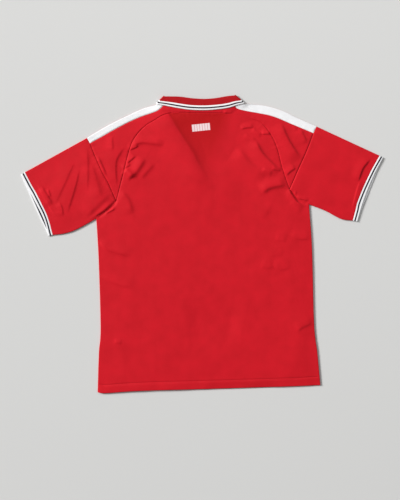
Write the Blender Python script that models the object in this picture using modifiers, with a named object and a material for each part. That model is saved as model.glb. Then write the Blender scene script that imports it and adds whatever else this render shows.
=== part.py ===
"""A short-sleeved football jersey that lies flat on its front, with its back up.

The cloth is modelled piece by piece, as it is cut and sewn. Every seam and edge is a
line in plan, and neighbouring pieces share the steps along it, so that they meet with
the same small gap. Two surfaces carry the cloth: the under layer lies on the floor, and
the upper layer lies over it and holds the largest folds. Both are raised round the neck,
where the front half of the collar lies beneath them.
"""

import math
from collections import namedtuple

import bmesh
import bpy
import numpy as np

MM = 0.001

# Walls and gaps
CLOTH = 1.1 * MM
RIB = 1.3 * MM
SEAM_GAP = 0.3 * MM

# A closed edge, such as a side seam, stands between the two layers: an upright stretch
# at mid height and a round one to each side of it.
UPRIGHT = 0.45 * MM
ARC = 1.3 * MM
EDGE_HALF = UPRIGHT + ARC
ARC_MIDDLE = ARC * (1 - math.sin(math.pi / 4))
CURL = (0.0, 0.0, ARC_MIDDLE, ARC)

# Lie of the layers
NECK_LIFT = 1.6 * MM
NECK_REACH = 30 * MM
LOFT = 1.6 * MM
LOFT_REACH = 45 * MM
EDGE_REACH = 25 * MM
V_SINK = 4.2 * MM
V_SLOPE = 24 * MM

# Collar: where its two plies lie, from the middle plane between the front and the back
STAND_FACE = 0.2 * MM
FALL_FACE = NECK_LIFT + EDGE_HALF
FOLD_RADIUS = (FALL_FACE - STAND_FACE) / 2
COLLAR_COVER = 10 * MM
FOLD_STEPS = 5
SIDE_STEPS = 6

# Steps along the seams and across the pieces
SIDE_ROWS = 13
TUCK_STEPS = 3
ARMHOLE_STEPS = 8
RAGLAN_STEPS = 12
ARCH_STEPS = 24
SHOULDER_STEPS = 10
FRONT_ARMHOLE_STEPS = 10
SLEEVE_ROWS = 8
CUFF_ROWS = 2
YOKE_ROWS = 5
LEAF_STEPS = 2
TIP_CUT = 3 * MM
CORNER_STEP = 4 * MM  # to the first row next to the underarm
BAND_NECK_STEP = 8 * MM  # along the band's neck seam, to the first column off the shoulder
FINENESS = 12  # points that a smooth line has for each stretch between its places

LEFT, RIGHT = -1, 1

Pair = namedtuple("Pair", "place left_x left_y right_x right_y")
Spot = namedtuple("Spot", "place x y")
Section = namedtuple("Section", "place fold_x fold_y free_x free_y stand")
Crease = namedtuple("Crease", "place from_x from_y to_x to_y width height")

# Places on each line, on the left and on the right half, in millimetres
SIDE = (
    Pair("hem", -256.5, -364.4, 291.8, -347.0),
    Pair("hip", -253.5, -268.0, 284.7, -268.0),
    Pair("waist", -249.3, -206.0, 276.5, -195.0),
    Pair("chest", -254.0, -39.0, 271.5, -14.0),
    Pair("underarm", -259.8, 62.7, 264.0, 97.6),
)
TUCK = (
    Pair("underarm", -259.8, 62.7, 264.0, 97.6),
    Pair("corner", -256.0, 70.5, 259.0, 104.4),
    Pair("middle", -229.1, 85.3, 239.0, 108.0),
    Pair("foot", -210.5, 106.5, 216.0, 135.3),
)
BACK_ARMHOLE = (
    Pair("foot", -210.5, 106.5, 216.0, 135.3),
    Pair("lower", -229.2, 148.7, 221.0, 146.3),
    Pair("middle", -244.7, 176.8, 237.3, 183.1),
    Pair("upper", -260.1, 210.9, 257.7, 227.9),
    Pair("band", -275.2, 248.1, 275.0, 273.0),
)
BAND_END = (
    Pair("band", -275.2, 248.1, 275.0, 273.0),
    Pair("tip", -282.8, 261.4, 282.3, 289.6),
)
RAGLAN = (
    Pair("foot", -210.5, 106.5, 216.0, 135.3),
    Pair("blade", -194.7, 167.4, 197.4, 190.5),
    Pair("shoulder", -177.5, 234.0, 187.8, 228.9),
    Pair("bend", -163.7, 263.8, 175.0, 260.9),
    Pair("corner", -140.0, 290.0, 150.0, 296.0),
)
ARCH = (
    Pair("rise", -117.0, 304.4, 120.0, 308.0),
    Pair("haunch", -91.9, 318.4, 88.7, 318.4),
    Pair("crown", -55.0, 323.4, 55.0, 321.8),
)
SHOULDER = (
    Pair("tip", -282.8, 261.4, 282.3, 289.6),
    Pair("outer", -230.9, 292.1, 240.0, 308.0),
    Pair("middle", -182.7, 316.0, 196.0, 328.8),
    Pair("inner", -145.0, 333.2, 150.0, 341.4),
)
BAND_SEAM = (
    Pair("band", -275.2, 248.1, 275.0, 273.0),
    Pair("outer", -195.7, 292.1, 225.5, 293.6),
    Pair("middle", -152.2, 312.3, 168.9, 316.2),
    Pair("inner", -108.5, 328.4, 90.0, 332.5),
)
FRONT_ARMHOLE = (
    Pair("foot", -214.0, 101.0, 218.0, 128.0),
    Pair("lower", -226.0, 150.0, 226.0, 172.0),
    Pair("upper", -256.0, 210.0, 256.0, 232.0),
    Pair("tip", -282.8, 261.4, 282.3, 289.6),
)
FRONT_TUCK = (
    Pair("underarm", -259.8, 62.7, 264.0, 97.6),
    Pair("corner", -256.0, 70.5, 259.0, 104.4),
    Pair("foot", -214.0, 101.0, 218.0, 128.0),
)
SLEEVE_UPPER = (
    Pair("tip", -282.8, 261.4, 282.3, 289.6),
    Pair("cuff", -435.5, 177.0, 437.5, 217.8),
)
SLEEVE_LOWER = (
    Pair("underarm", -259.8, 62.7, 264.0, 97.6),
    Pair("inner", -292.4, 44.4, 303.0, 82.5),
    Pair("middle", -318.0, 32.0, 328.0, 69.0),
    Pair("outer", -342.0, 25.4, 346.0, 61.0),
    Pair("cuff", -366.9, 22.5, 371.3, 57.9),
)
CUFF_UPPER = (
    Pair("seam", -435.5, 177.0, 437.5, 217.8),
    Pair("rim", -445.4, 170.8, 446.1, 213.4),
)
CUFF_LOWER = (
    Pair("seam", -366.9, 22.5, 371.3, 57.9),
    Pair("rim", -377.0, 20.0, 382.2, 55.4),
)
HEM = (
    Spot("left corner", -256.5, -364.4),
    Spot("dip", -237.0, -366.9),
    Spot("left", -152.2, -361.3),
    Spot("middle", 20.0, -356.3),
    Spot("right", 200.0, -350.8),
    Spot("right corner", 291.8, -347.0),
)
V_TIP = Spot("tip of the V neck", 22.6, 128.0)
CENTRE_FOOT = Spot("middle of the front, below the V", 22.6, 108.0)

# How far the cuffs bow in between their ends, in millimetres
CUFF_BOW = {
    LEFT: {"upper": 5.0, "under": 0.0, "upper rim": 5.0, "under rim": -1.5},
    RIGHT: {"upper": 6.5, "under": 2.5, "upper rim": 6.0, "under rim": 0.5},
}

# Collar sections: the folded edge, the free edge, and the width of the stand, in mm
LEFT_LEAF = (
    Section("left tip", 18.8, 143.0, -5.3, 128.8, 3),
    Section("left low", -2.1, 194.7, -26.7, 179.9, 14),
    Section("left middle", -29.2, 248.8, -53.8, 234.1, 20),
    Section("left high", -63.6, 310.3, -88.2, 295.6, 21),
    Section("left side", -91.4, 363.4, -110.4, 343.8, 20),
)
BACK_NECK = (
    Section("left side", -91.4, 363.4, -110.4, 343.8, 20),
    Section("left band", -77.0, 363.4, -94.5, 341.4, 20),
    Section("left back", -52.0, 362.7, -60.0, 334.8, 20),
    Section("left middle", -24.2, 359.0, -28.0, 330.4, 20),
    Section("centre", 7.7, 357.3, 7.7, 329.3, 20),
    Section("right middle", 35.0, 359.5, 40.0, 331.5, 20),
    Section("right back", 57.0, 363.3, 67.0, 335.6, 20),
    Section("right band", 70.0, 365.0, 88.5, 342.2, 20),
    Section("right side", 79.8, 365.6, 103.6, 345.5, 21),
)
RIGHT_LEAF = (
    Section("right side", 79.8, 365.6, 103.6, 345.5, 21),
    Section("right high", 64.3, 307.9, 92.6, 300.5, 21),
    Section("right middle", 48.3, 251.3, 75.4, 243.9, 20),
    Section("right low", 34.8, 197.2, 61.9, 189.8, 14),
    Section("right tip", 26.2, 143.0, 53.0, 135.7, 3),
)

# The largest folds of the upper layer, in millimetres
CREASES = (
    Crease("left underarm tuck", -240, 80, -214, 98, 9, -1.4),
    Crease("left underarm roll", -262, 92, -226, 122, 12, 2.4),
    Crease("left sleeve fold", -312, 190, -350, 115, 11, 2.2),
    Crease("left sleeve hollow", -290, 176, -322, 92, 12, -1.2),
    Crease("left armhole fold", -268, 190, -250, 118, 9, 2.0),
    Crease("left yoke fold", -200, 218, -208, 150, 12, 2.4),
    Crease("left yoke hollow", -222, 244, -216, 200, 10, -1.2),
    Crease("left blade fold", -180, 182, -136, 208, 12, 2.2),
    Crease("left blade hollow", -176, 168, -142, 184, 10, -1.2),
    Crease("left flank fold", -246, -4, -196, -24, 12, 1.8),
    Crease("left hip fold", -240, -88, -204, -104, 11, 1.6),
    Crease("right yoke fold", 190, 292, 230, 224, 12, 2.2),
    Crease("right yoke hollow", 204, 304, 232, 258, 9, -1.0),
    Crease("right blade fold", 92, 236, 160, 188, 12, 2.2),
    Crease("right blade hollow", 130, 250, 178, 200, 10, -1.2),
    Crease("right foot fold", 152, 126, 200, 142, 12, 2.2),
    Crease("right flank fold", 224, 16, 262, 8, 12, 1.8),
    Crease("right waist fold", 170, -32, 216, -58, 11, 1.8),
    Crease("right underarm groove", 234, 116, 256, 106, 7, -1.2),
    Crease("right sleeve fold", 392, 158, 372, 96, 12, 1.8),
    Crease("back hollow", -20, -196, 84, -196, 48, -1.5),
    Crease("right hip hollow", 250, -160, 262, -290, 22, -1.0),
)

RED = (0.62, 0.014, 0.022, 1)
RIB_RED = (0.49, 0.008, 0.014, 1)
WHITE = (0.86, 0.86, 0.87, 1)


# ---- lines in plan ----

def points_of(rows, side=None):
    """The rows' points in plan, in metres, on one half of a table that has two."""
    if side == LEFT:
        return np.array([(row.left_x, row.left_y) for row in rows]) * MM
    if side == RIGHT:
        return np.array([(row.right_x, row.right_y) for row in rows]) * MM
    return np.array([(row.x, row.y) for row in rows]) * MM


def lengths(line):
    """The way along a line to each of its points."""
    steps = np.linalg.norm(np.diff(line, axis=0), axis=1)
    return np.concatenate([[0.0], np.cumsum(steps)])


def at(line, ways):
    """The points at these ways along a line."""
    run = lengths(line)
    return np.stack([np.interp(ways, run, line[:, axis]) for axis in range(line.shape[1])], 1)


def curved(points, fineness=FINENESS):
    """A smooth line through a few points (a Catmull-Rom spline)."""
    if len(points) < 3:
        return points
    ends = np.vstack([2 * points[0] - points[1], points, 2 * points[-1] - points[-2]])
    pieces = []
    for before, start, stop, after in zip(ends, ends[1:], ends[2:], ends[3:]):
        for t in np.arange(fineness) / fineness:
            pull = 2 * before - 5 * start + 4 * stop - after
            turn = 3 * (start - stop) + after - before
            pieces.append(start + 0.5 * t * ((stop - before) + t * (pull + t * turn)))
    return np.vstack([pieces, points[-1:]])


def seam(points, steps, curl_start=False, curl_end=False):
    """Even steps along the smooth line through points, with the steps of a closed edge
    at an end that comes to one."""
    path = curved(points)
    total = lengths(path)[-1]
    ways = np.linspace(ARC if curl_start else 0.0, total - (ARC if curl_end else 0.0), steps + 1)
    if curl_start:
        ways = np.concatenate([CURL[:-1], ways])
    if curl_end:
        ways = np.concatenate([ways, total - np.array(CURL[:-1])[::-1]])
    return at(path, ways)


def evenly(line, steps):
    """Even steps along a line."""
    return at(line, np.linspace(0, lengths(line)[-1], steps + 1))


def with_step(line, way):
    """The line with one more point, so far along it."""
    ways = np.sort(np.append(lengths(line), way))
    return at(line, ways)


def joined(*lines):
    """Lines one after another, with each shared end kept once."""
    return np.vstack([lines[0]] + [line[1:] for line in lines[1:]])


def bowed(start, stop, steps, bow, towards):
    """A line from start to stop with curl steps at both ends, bowed by so much (in mm)
    towards a point."""
    chord = stop - start
    across = np.array([-chord[1], chord[0]]) / np.linalg.norm(chord)
    across *= np.sign(np.dot(across, towards - start))
    middle = (start + stop) / 2 + across * bow * MM
    quarter = across * bow * MM * 0.25
    return seam(
        np.array([start, (start + middle) / 2 + quarter, middle, (middle + stop) / 2 + quarter, stop]),
        steps, True, True,
    )


def miters(line):
    """The sideways direction (to the left of the way along) at each point of a line,
    long enough that a line moved by it keeps its distance."""
    way = np.diff(line, axis=0)
    way /= np.linalg.norm(way, axis=1)[:, None]
    side = np.stack([-way[:, 1], way[:, 0]], 1)
    before = np.vstack([side[:1], side])
    after = np.vstack([side, side[-1:]])
    return (before + after) / (1 + (before * after).sum(1))[:, None]


def distance(points, line):
    """The least distance in plan from each point to a line of straight stretches."""
    start, way = line[:-1], np.diff(line, axis=0)
    keep = (way**2).sum(1) > 0
    start, way = start[keep], way[keep]
    away = points[:, None, :] - start
    share = np.clip((away * way).sum(2) / (way**2).sum(1), 0, 1)
    return np.linalg.norm(away - share[..., None] * way, axis=2).min(1)


def inside(points, loop):
    """Whether each point lies inside a closed loop."""
    found = np.zeros(len(points), bool)
    for (ax, ay), (bx, by) in zip(loop, np.roll(loop, -1, axis=0)):
        crosses = (ay > points[:, 1]) != (by > points[:, 1])
        reach = (bx - ax) * (points[:, 1] - ay) / (by - ay if by != ay else 1) + ax
        found ^= crosses & (points[:, 0] < reach)
    return found


def eased(share):
    """0 below 0 and 1 above 1, with a smooth step between."""
    share = np.clip(share, 0.0, 1.0)
    return share * share * (3 - 2 * share)


# ---- the collar's sections, which also give the neck seam ----

def collar_sections(rows):
    """The sections at each step: where the fold turns, the way to the free edge, and
    the widths of the stand and the fall."""
    table = np.array([(r.fold_x, r.fold_y, r.free_x, r.free_y, r.stand) for r in rows]) * MM
    table = curved(table, LEAF_STEPS)
    fold, free, stand = table[:, 0:2], table[:, 2:4], table[:, 4]
    width = np.linalg.norm(free - fold, axis=1)
    down = (free - fold) / width[:, None]
    turn = fold + down * FOLD_RADIUS
    return turn, down, stand, width - FOLD_RADIUS


def neck_seam(rows):
    """The line on which the collar's stand is sewn to the body."""
    turn, down, stand, _ = collar_sections(rows)
    return turn + down * stand[:, None]


def outward(rows, place):
    """The direction out of the neck at the section where front and back meet."""
    down = collar_sections(rows)[1][place]
    side = np.array([-down[1], down[0]])
    return side * np.sign(side[1])


def fold_line(rows):
    """The collar's folded edge in plan."""
    turn, down, _, _ = collar_sections(rows)
    return turn - down * FOLD_RADIUS


V_SEAM = {LEFT: neck_seam(LEFT_LEAF), RIGHT: neck_seam(RIGHT_LEAF)[::-1]}
NECK = neck_seam(BACK_NECK)
NECK_END = {
    LEFT: V_SEAM[LEFT][-1] + ARC * outward(LEFT_LEAF, -1),
    RIGHT: V_SEAM[RIGHT][-1] + ARC * outward(RIGHT_LEAF, 0),
}
# The shoulder line stays inside the collar as far as the fall covers it
NECK_COVER = {
    LEFT: NECK_END[LEFT] + COLLAR_COVER * collar_sections(LEFT_LEAF)[1][-1],
    RIGHT: NECK_END[RIGHT] + COLLAR_COVER * collar_sections(RIGHT_LEAF)[1][0],
}
BAND_NECK = LEAF_STEPS  # steps of the neck seam that the shoulder band takes

# ---- all lines, sampled once ----

def band_neck(neck_half, end):
    """The neck seam of the shoulder band, from the yoke to the steps of the shoulder's
    closed edge."""
    line = np.vstack([neck_half[BAND_NECK], neck_half[0], end])
    total = lengths(line)[-1]
    return at(line, total - np.array([total, BAND_NECK_STEP, *CURL[::-1]]))


# The yoke's inner seam: up one raglan, over the arch and down the other
INNER_POINTS = np.vstack([
    points_of(RAGLAN, LEFT),
    points_of(ARCH, LEFT),
    points_of(ARCH, RIGHT)[::-1],
    points_of(RAGLAN, RIGHT)[::-1],
])
INNER_SEAM = curved(INNER_POINTS)
RAGLAN_POINTS = (len(RAGLAN) - 1) * FINENESS + 1
RAGLAN_PATH = {LEFT: INNER_SEAM[:RAGLAN_POINTS], RIGHT: INNER_SEAM[::-1][:RAGLAN_POINTS]}
ARCH_LINE = evenly(INNER_SEAM[RAGLAN_POINTS - 1:1 - RAGLAN_POINTS], ARCH_STEPS)

LINES = {}
for half in (LEFT, RIGHT):
    shoulder = np.vstack([points_of(SHOULDER, half), NECK_COVER[half]])
    neck_half = NECK if half == LEFT else NECK[::-1]
    band_seam = np.vstack([points_of(BAND_SEAM, half), neck_half[BAND_NECK]])
    LINES[half] = {
        "side": with_step(seam(points_of(SIDE, half)[::-1], SIDE_ROWS - 1), CORNER_STEP)[::-1],
        "tuck": seam(points_of(TUCK, half), TUCK_STEPS, curl_start=True),
        "armhole": seam(points_of(BACK_ARMHOLE, half), ARMHOLE_STEPS),
        "band end": seam(points_of(BAND_END, half), 2, curl_end=True),
        "raglan": evenly(RAGLAN_PATH[half], RAGLAN_STEPS),
        "shoulder": np.vstack([seam(shoulder, SHOULDER_STEPS - 1), NECK_END[half]]),
        "band seam": seam(band_seam, SHOULDER_STEPS),
        "front tuck": seam(points_of(FRONT_TUCK, half), TUCK_STEPS, curl_start=True),
        "front armhole": seam(points_of(FRONT_ARMHOLE, half), FRONT_ARMHOLE_STEPS, curl_end=True),
        "sleeve upper": with_step(seam(points_of(SLEEVE_UPPER, half), SLEEVE_ROWS - 1), CORNER_STEP),
        "sleeve lower": with_step(seam(points_of(SLEEVE_LOWER, half), SLEEVE_ROWS - 1), CORNER_STEP),
        "cuff upper": seam(points_of(CUFF_UPPER, half), CUFF_ROWS),
        "cuff lower": seam(points_of(CUFF_LOWER, half), CUFF_ROWS),
        "band neck": band_neck(neck_half, NECK_END[half]),
    }
CLOSED_EDGES = [
    LINES[half][name]
    for half in (LEFT, RIGHT)
    for name in ("side", "shoulder", "sleeve upper", "sleeve lower", "cuff upper", "cuff lower")
]
# The V opening, from its left side down to the tip and up again
V_LINE = np.vstack([fold_line(LEFT_LEAF)[::-1], fold_line(RIGHT_LEAF)[::-1]])


# ---- the two layers ----

def neck_lift(plan):
    """How far both layers are raised over the front half of the collar."""
    away = np.where(inside(plan, V_LINE), 0.0, distance(plan, V_LINE))
    return NECK_LIFT * (1 - eased((away - NECK_REACH) / NECK_REACH))


def edge_rise(plan):
    """How far a layer's face lies from mid height, next to a closed edge."""
    near = np.minimum(np.min([distance(plan, line) for line in CLOSED_EDGES], axis=0), ARC)
    return UPRIGHT + np.sqrt(ARC**2 - (ARC - near) ** 2)


def creases(plan):
    """The sum of the largest folds: soft ridges and hollows."""
    total = np.zeros(len(plan))
    for fold in CREASES:
        line = np.array([(fold.from_x, fold.from_y), (fold.to_x, fold.to_y)]) * MM
        total += fold.height * MM * np.exp(-((distance(plan, line) / (fold.width * MM)) ** 2))
    return total


def under(plan):
    """Height of the under layer's lower face."""
    return neck_lift(plan) + EDGE_HALF - edge_rise(plan)


def upper(plan):
    """Height of the upper layer's upper face."""
    edge = np.min([distance(plan, line) for line in CLOSED_EDGES], axis=0) - ARC
    free = eased((distance(plan, NECK) - 9 * MM) / NECK_REACH)
    loft = LOFT * eased(edge / LOFT_REACH) + creases(plan) * eased(edge / EDGE_REACH)
    into = np.where(inside(plan, V_LINE), distance(plan, V_LINE) - MM, 0.0)
    sink = V_SINK * eased(into / V_SLOPE)
    return neck_lift(plan) + EDGE_HALF + edge_rise(plan) + free * (loft - sink)


def middle(plan):
    """Height half way between the layers, where a closed edge has its seam or fold."""
    return neck_lift(plan) + EDGE_HALF


def lay(grid, height, closed=()):
    """Gives a grid in plan its heights. Its closed sides lie at mid height."""
    rows, columns, _ = grid.shape
    tall = height(grid.reshape(-1, 2)).reshape(rows, columns)
    for side in closed:
        tall[side] = middle(grid[side].reshape(-1, 2))
    return np.dstack([grid, tall])


FIRST_COLUMN = (slice(None), 0)
LAST_COLUMN = (slice(None), -1)
FIRST_ROW = (0, slice(None))
LAST_ROW = (-1, slice(None))


# ---- pieces of cloth ----

def between(first, last, left, right):
    """A grid in plan between four lines that meet at their ends (a Coons patch)."""
    share = [lengths(line) / lengths(line)[-1] for line in (first, last, left, right)]
    v = (share[2] + share[3])[:, None] / 2
    u = share[0] * (1 - v) + share[1] * v
    u, v = u[..., None], v[..., None]
    ruled = (1 - v) * first + v * last
    turned = (1 - u) * left[:, None] + u * right[:, None]
    corners = (1 - u) * ((1 - v) * first[0] + v * last[0]) + u * ((1 - v) * first[-1] + v * last[-1])
    return ruled + turned - corners


def curl_in(grid, side):
    """Moves the columns next to a closed side to the steps of a closed edge. The first
    and the last row keep theirs, which come from the seams that end there."""
    view = grid if side == FIRST_COLUMN else grid[:, ::-1]
    line = view[:, 0].copy()
    inward = miters(line)
    inward *= np.sign((inward * (view[:, len(CURL)] - line)).sum(1).mean())
    for step, way in enumerate(CURL):
        view[1:-1, step] = line[1:-1] + inward[1:-1] * way
    return grid


def turned_over(grid):
    """The same grid with its rows and columns exchanged."""
    return grid.transpose(1, 0, 2)


def facing(grid, upwards):
    """Reverses a grid's columns if its faces look the wrong way."""
    plan = grid[..., :2]
    along = plan[1:, :-1] - plan[:-1, :-1]
    across = plan[:-1, 1:] - plan[:-1, :-1]
    turn = (across[..., 0] * along[..., 1] - across[..., 1] * along[..., 0]).sum()
    return grid if (turn > 0) == upwards else grid[:, ::-1]


def cloth_mesh(name, grids, open_lines=()):
    """One open surface from grids that share their borders. Its edges are drawn in by
    half the seam gap, except along open lines such as the hem."""
    mesh = bmesh.new()
    for grid in grids:
        rows, columns, _ = grid.shape
        made = bmesh.ops.create_grid(mesh, x_segments=columns - 1, y_segments=rows - 1, size=1)
        for vertex in made["verts"]:
            column = round((vertex.co.x + 1) / 2 * (columns - 1))
            row = round((vertex.co.y + 1) / 2 * (rows - 1))
            vertex.co = grid[row, column]
    bmesh.ops.remove_doubles(mesh, verts=mesh.verts, dist=0.00002)
    draw_in(mesh, SEAM_GAP / 2, open_lines)
    data = bpy.data.meshes.new(name)
    mesh.to_mesh(data)
    mesh.free()
    return data


def draw_in(mesh, amount, open_lines):
    """Moves each point of the border into the surface, square to the border."""
    ways = {}
    for edge in mesh.edges:
        if not edge.is_boundary:
            continue
        start, stop = (vertex.co.copy() for vertex in edge.verts)
        ends = np.array([start[:2], stop[:2]])
        if any(distance(ends, line).max() < 0.02 * MM for line in open_lines):
            continue
        face = edge.link_faces[0]
        inward = face.normal.cross(stop - start).normalized()
        if inward.dot(face.calc_center_median() - start) < 0:
            inward.negate()
        for vertex in edge.verts:
            ways.setdefault(vertex, []).append(inward)
    for vertex, inward in ways.items():
        total = sum(inward[1:], inward[0])
        share = 1 + inward[0].dot(inward[-1]) if len(inward) > 1 else 1
        vertex.co += total * (amount / max(share, 0.4))


def add_piece(name, grids, wall, colour, open_lines=()):
    """A named solid: the surface with its wall grown inwards from the outer face."""
    piece = bpy.data.objects.new(name, cloth_mesh(name, grids, open_lines))
    collection.objects.link(piece)
    piece.parent = jersey
    thick = piece.modifiers.new("wall", "SOLIDIFY")
    thick.thickness = wall
    thick.offset = -1
    piece.data.materials.append(fabric(name, colour))
    piece.data.shade_smooth()
    return piece


def fabric(name, colour):
    """Knitted polyester in one colour."""
    material = bpy.data.materials.new(name)
    material.use_nodes = True
    shader = material.node_tree.nodes["Principled BSDF"]
    shader.inputs["Base Color"].default_value = colour
    shader.inputs["Roughness"].default_value = 0.75
    shader.inputs["Metallic"].default_value = 0.0
    return material


def front_panel():
    """The front body: a lower part up to the foot of the armholes, and an upper part to
    each side of the V."""
    grids = []
    centre = points_of([CENTRE_FOOT])[0]
    hem_middle = points_of([row for row in HEM if row.place == "middle"])[0]
    for half in (LEFT, RIGHT):
        lines = LINES[half]
        columns = len(CURL) - 1 + TUCK_STEPS + SHOULDER_STEPS
        hem_points = points_of(HEM[:4] if half == LEFT else HEM[:2:-1])
        hem = seam(hem_points, columns - len(CURL) + 1, curl_start=True)
        across = evenly(np.array([lines["front tuck"][-1], centre]), SHOULDER_STEPS)
        foot = joined(lines["front tuck"], across)
        rise = evenly(np.array([hem_middle, centre]), SIDE_ROWS)
        lower = between(hem, foot, lines["side"], rise)
        lower = curl_in(lower, FIRST_COLUMN)
        grids.append(lay(lower, under, [FIRST_COLUMN]))
        v_end = np.array([V_SEAM[half][-1], NECK_END[half]])
        v_curl = at(v_end, ARC - np.array(CURL)[::-1])
        v_line = joined(np.vstack([centre, points_of([V_TIP]), V_SEAM[half]]), v_curl)
        top = between(across, lines["shoulder"], lines["front armhole"], v_line)
        top = turned_over(curl_in(turned_over(top), LAST_COLUMN))
        grids.append(lay(top, under, [LAST_ROW]))
    grids = [facing(grid, upwards=False) for grid in grids]
    return add_piece("front_panel", grids, CLOTH, RED, [curved(points_of(HEM))])


def back_panel():
    """The centre back: from the hem to the tucks under the arms, then up between the
    raglan seams to the arch."""
    left, right = LINES[LEFT], LINES[RIGHT]
    foot_left, foot_right = left["raglan"][0], right["raglan"][0]
    across = evenly(np.array([foot_left, foot_right]), ARCH_STEPS)
    foot = joined(left["tuck"], across, right["tuck"][::-1])
    hem = seam(points_of(HEM), len(foot) - 1 - 2 * (len(CURL) - 1), True, True)
    lower = between(hem, foot, left["side"], right["side"])
    for side in (FIRST_COLUMN, LAST_COLUMN):
        lower = curl_in(lower, side)
    top = between(across, ARCH_LINE, left["raglan"], right["raglan"])
    grids = [lay(lower, upper, [FIRST_COLUMN, LAST_COLUMN]), lay(top, upper)]
    grids = [facing(grid, upwards=True) for grid in grids]
    return add_piece("back_panel", grids, CLOTH, RED, [curved(points_of(HEM))])


def back_yoke():
    """The shoulder yoke, between the raglan seam with its arch and the armholes, the
    shoulder bands and the neck. Its pointed ends are cut a little short."""
    left, right = LINES[LEFT], LINES[RIGHT]
    inner = joined(left["raglan"], ARCH_LINE, right["raglan"][::-1])
    neck = NECK[BAND_NECK:-BAND_NECK]
    outer = joined(left["armhole"], left["band seam"], neck,
                   right["band seam"][::-1], right["armhole"][::-1])
    for line in (inner, outer):
        line[0] = at(line, [TIP_CUT])[0]
        line[-1] = at(line[::-1], [TIP_CUT])[0]
    start, end = (evenly(np.array([inner[i], outer[i]]), YOKE_ROWS) for i in (0, -1))
    grid = lay(between(inner, outer, start, end), upper)
    return add_piece("back_yoke", [facing(grid, upwards=True)], CLOTH, RED)


def shoulder_band(half, name):
    """The strip along the shoulder, from the armhole to the neck."""
    lines = LINES[half]
    end, neck = lines["band end"][::-1], lines["band neck"][::-1]
    grid = between(end, neck, lines["shoulder"], lines["band seam"])
    grid = lay(curl_in(grid, FIRST_COLUMN), upper, [FIRST_COLUMN])
    return add_piece(name, [facing(grid, upwards=True)], CLOTH, WHITE)


def tube(under_grid, upper_grid):
    """A flattened tube from its two plies: up the under ply from the underarm to the
    folded edge, and back over the upper ply."""
    below = lay(under_grid, under, [FIRST_COLUMN, LAST_COLUMN])
    above = lay(upper_grid, upper, [FIRST_COLUMN, LAST_COLUMN])
    whole = np.concatenate([below, above[:, ::-1][:, 1:]], axis=1)
    return whole if is_up(whole[:, below.shape[1]:]) else whole[:, ::-1]


def is_up(grid):
    """Whether a grid's faces look up."""
    return facing(grid, upwards=True) is grid


def sleeve_rings(half):
    """The three lines across a sleeve and its cuff, for the under and the upper ply:
    the armhole, the cuff seam and the rim, each from the underarm to the folded edge."""
    lines = LINES[half]
    armhole = {
        "under": joined(lines["front tuck"], lines["front armhole"]),
        "upper": joined(lines["tuck"], lines["armhole"], lines["band end"]),
    }
    towards = lines["tuck"][-1]
    rings = {}
    for ply, line in armhole.items():
        steps = len(line) - 1 - 2 * (len(CURL) - 1)
        ends = lines["sleeve lower"][-1], lines["sleeve upper"][-1]
        rims = lines["cuff lower"][-1], lines["cuff upper"][-1]
        rings[ply] = (
            line,
            bowed(*ends, steps, CUFF_BOW[half][ply], towards),
            bowed(*rims, steps, CUFF_BOW[half][ply + " rim"], towards),
        )
    return rings


def ply(inner, outer, lower, upper_line):
    """One ply of a sleeve or cuff, with its first column at the underarm."""
    grid = between(inner, outer, lower, upper_line)
    for side in (FIRST_COLUMN, LAST_COLUMN):
        grid = curl_in(grid, side)
    return grid


def sleeve(half, name):
    """The sleeve, from the armhole to the cuff seam."""
    rings, lines = sleeve_rings(half), LINES[half]
    plies = [ply(rings[p][0], rings[p][1], lines["sleeve lower"], lines["sleeve upper"])
             for p in ("under", "upper")]
    return add_piece(name, [tube(*plies)], CLOTH, RED)


def cuff(half, name):
    """The rib cuff, whose rims are open."""
    rings, lines = sleeve_rings(half), LINES[half]
    plies = [ply(rings[p][1], rings[p][2], lines["cuff lower"], lines["cuff upper"])
             for p in ("under", "upper")]
    return add_piece(name, [tube(*plies)], RIB, RIB_RED, [rings["under"][2], rings["upper"][2]])


def collar_section(turn, down, stand, fall, angle):
    """One section of the collar: from the seam up the stand, round the fold and down
    the fall. Its plies are laid off from the middle plane towards the angle, -90 degrees
    for the front, 90 for the back, and through 0 where it turns at the side."""
    turns = np.linspace(-math.pi / 2, math.pi / 2, FOLD_STEPS + 1)
    centre = STAND_FACE + FOLD_RADIUS
    widths = [stand, stand / 2, *(-FOLD_RADIUS * np.cos(turns)), fall / 3, fall * 2 / 3, fall]
    offsets = [STAND_FACE] * 2 + [*(centre + FOLD_RADIUS * np.sin(turns))] + [FALL_FACE] * 3
    out = np.array([-down[1], down[0]]) * math.copysign(math.cos(angle), down[0])
    section = []
    for width, offset in zip(widths, offsets):
        x, y = turn + down * width + out * offset
        section.append((x, y, FALL_FACE + offset * math.sin(angle)))
    return section


def collar():
    """The rib collar: the left leaf beneath the front panel, the turn at the left side,
    the back, the turn at the right side and the right leaf."""
    left, back, right = (list(zip(*collar_sections(rows))) for rows in (LEFT_LEAF, BACK_NECK, RIGHT_LEAF))
    turns = np.linspace(-math.pi / 2, math.pi / 2, SIDE_STEPS + 1)
    front_side, back_side = turns[0], turns[-1]
    sections = [(*section, front_side) for section in left]
    sections += [(*back[0], angle) for angle in turns[1:-1]]
    back_start = len(sections)
    sections += [(*section, back_side) for section in back]
    sections += [(*back[-1], angle) for angle in turns[-2:0:-1]]
    sections += [(*section, front_side) for section in right]
    grid = np.array([collar_section(*section) for section in sections])
    fall = grid[back_start:back_start + len(back), -3:]
    if not is_up(fall):
        grid = grid[:, ::-1]
    return add_piece("collar", [grid], RIB, RIB_RED)


for old in list(bpy.data.objects):
    bpy.data.objects.remove(old)

collection = bpy.data.collections.new("football_jersey")
bpy.context.scene.collection.children.link(collection)
jersey = bpy.data.objects.new("football_jersey", None)
collection.objects.link(jersey)

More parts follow.
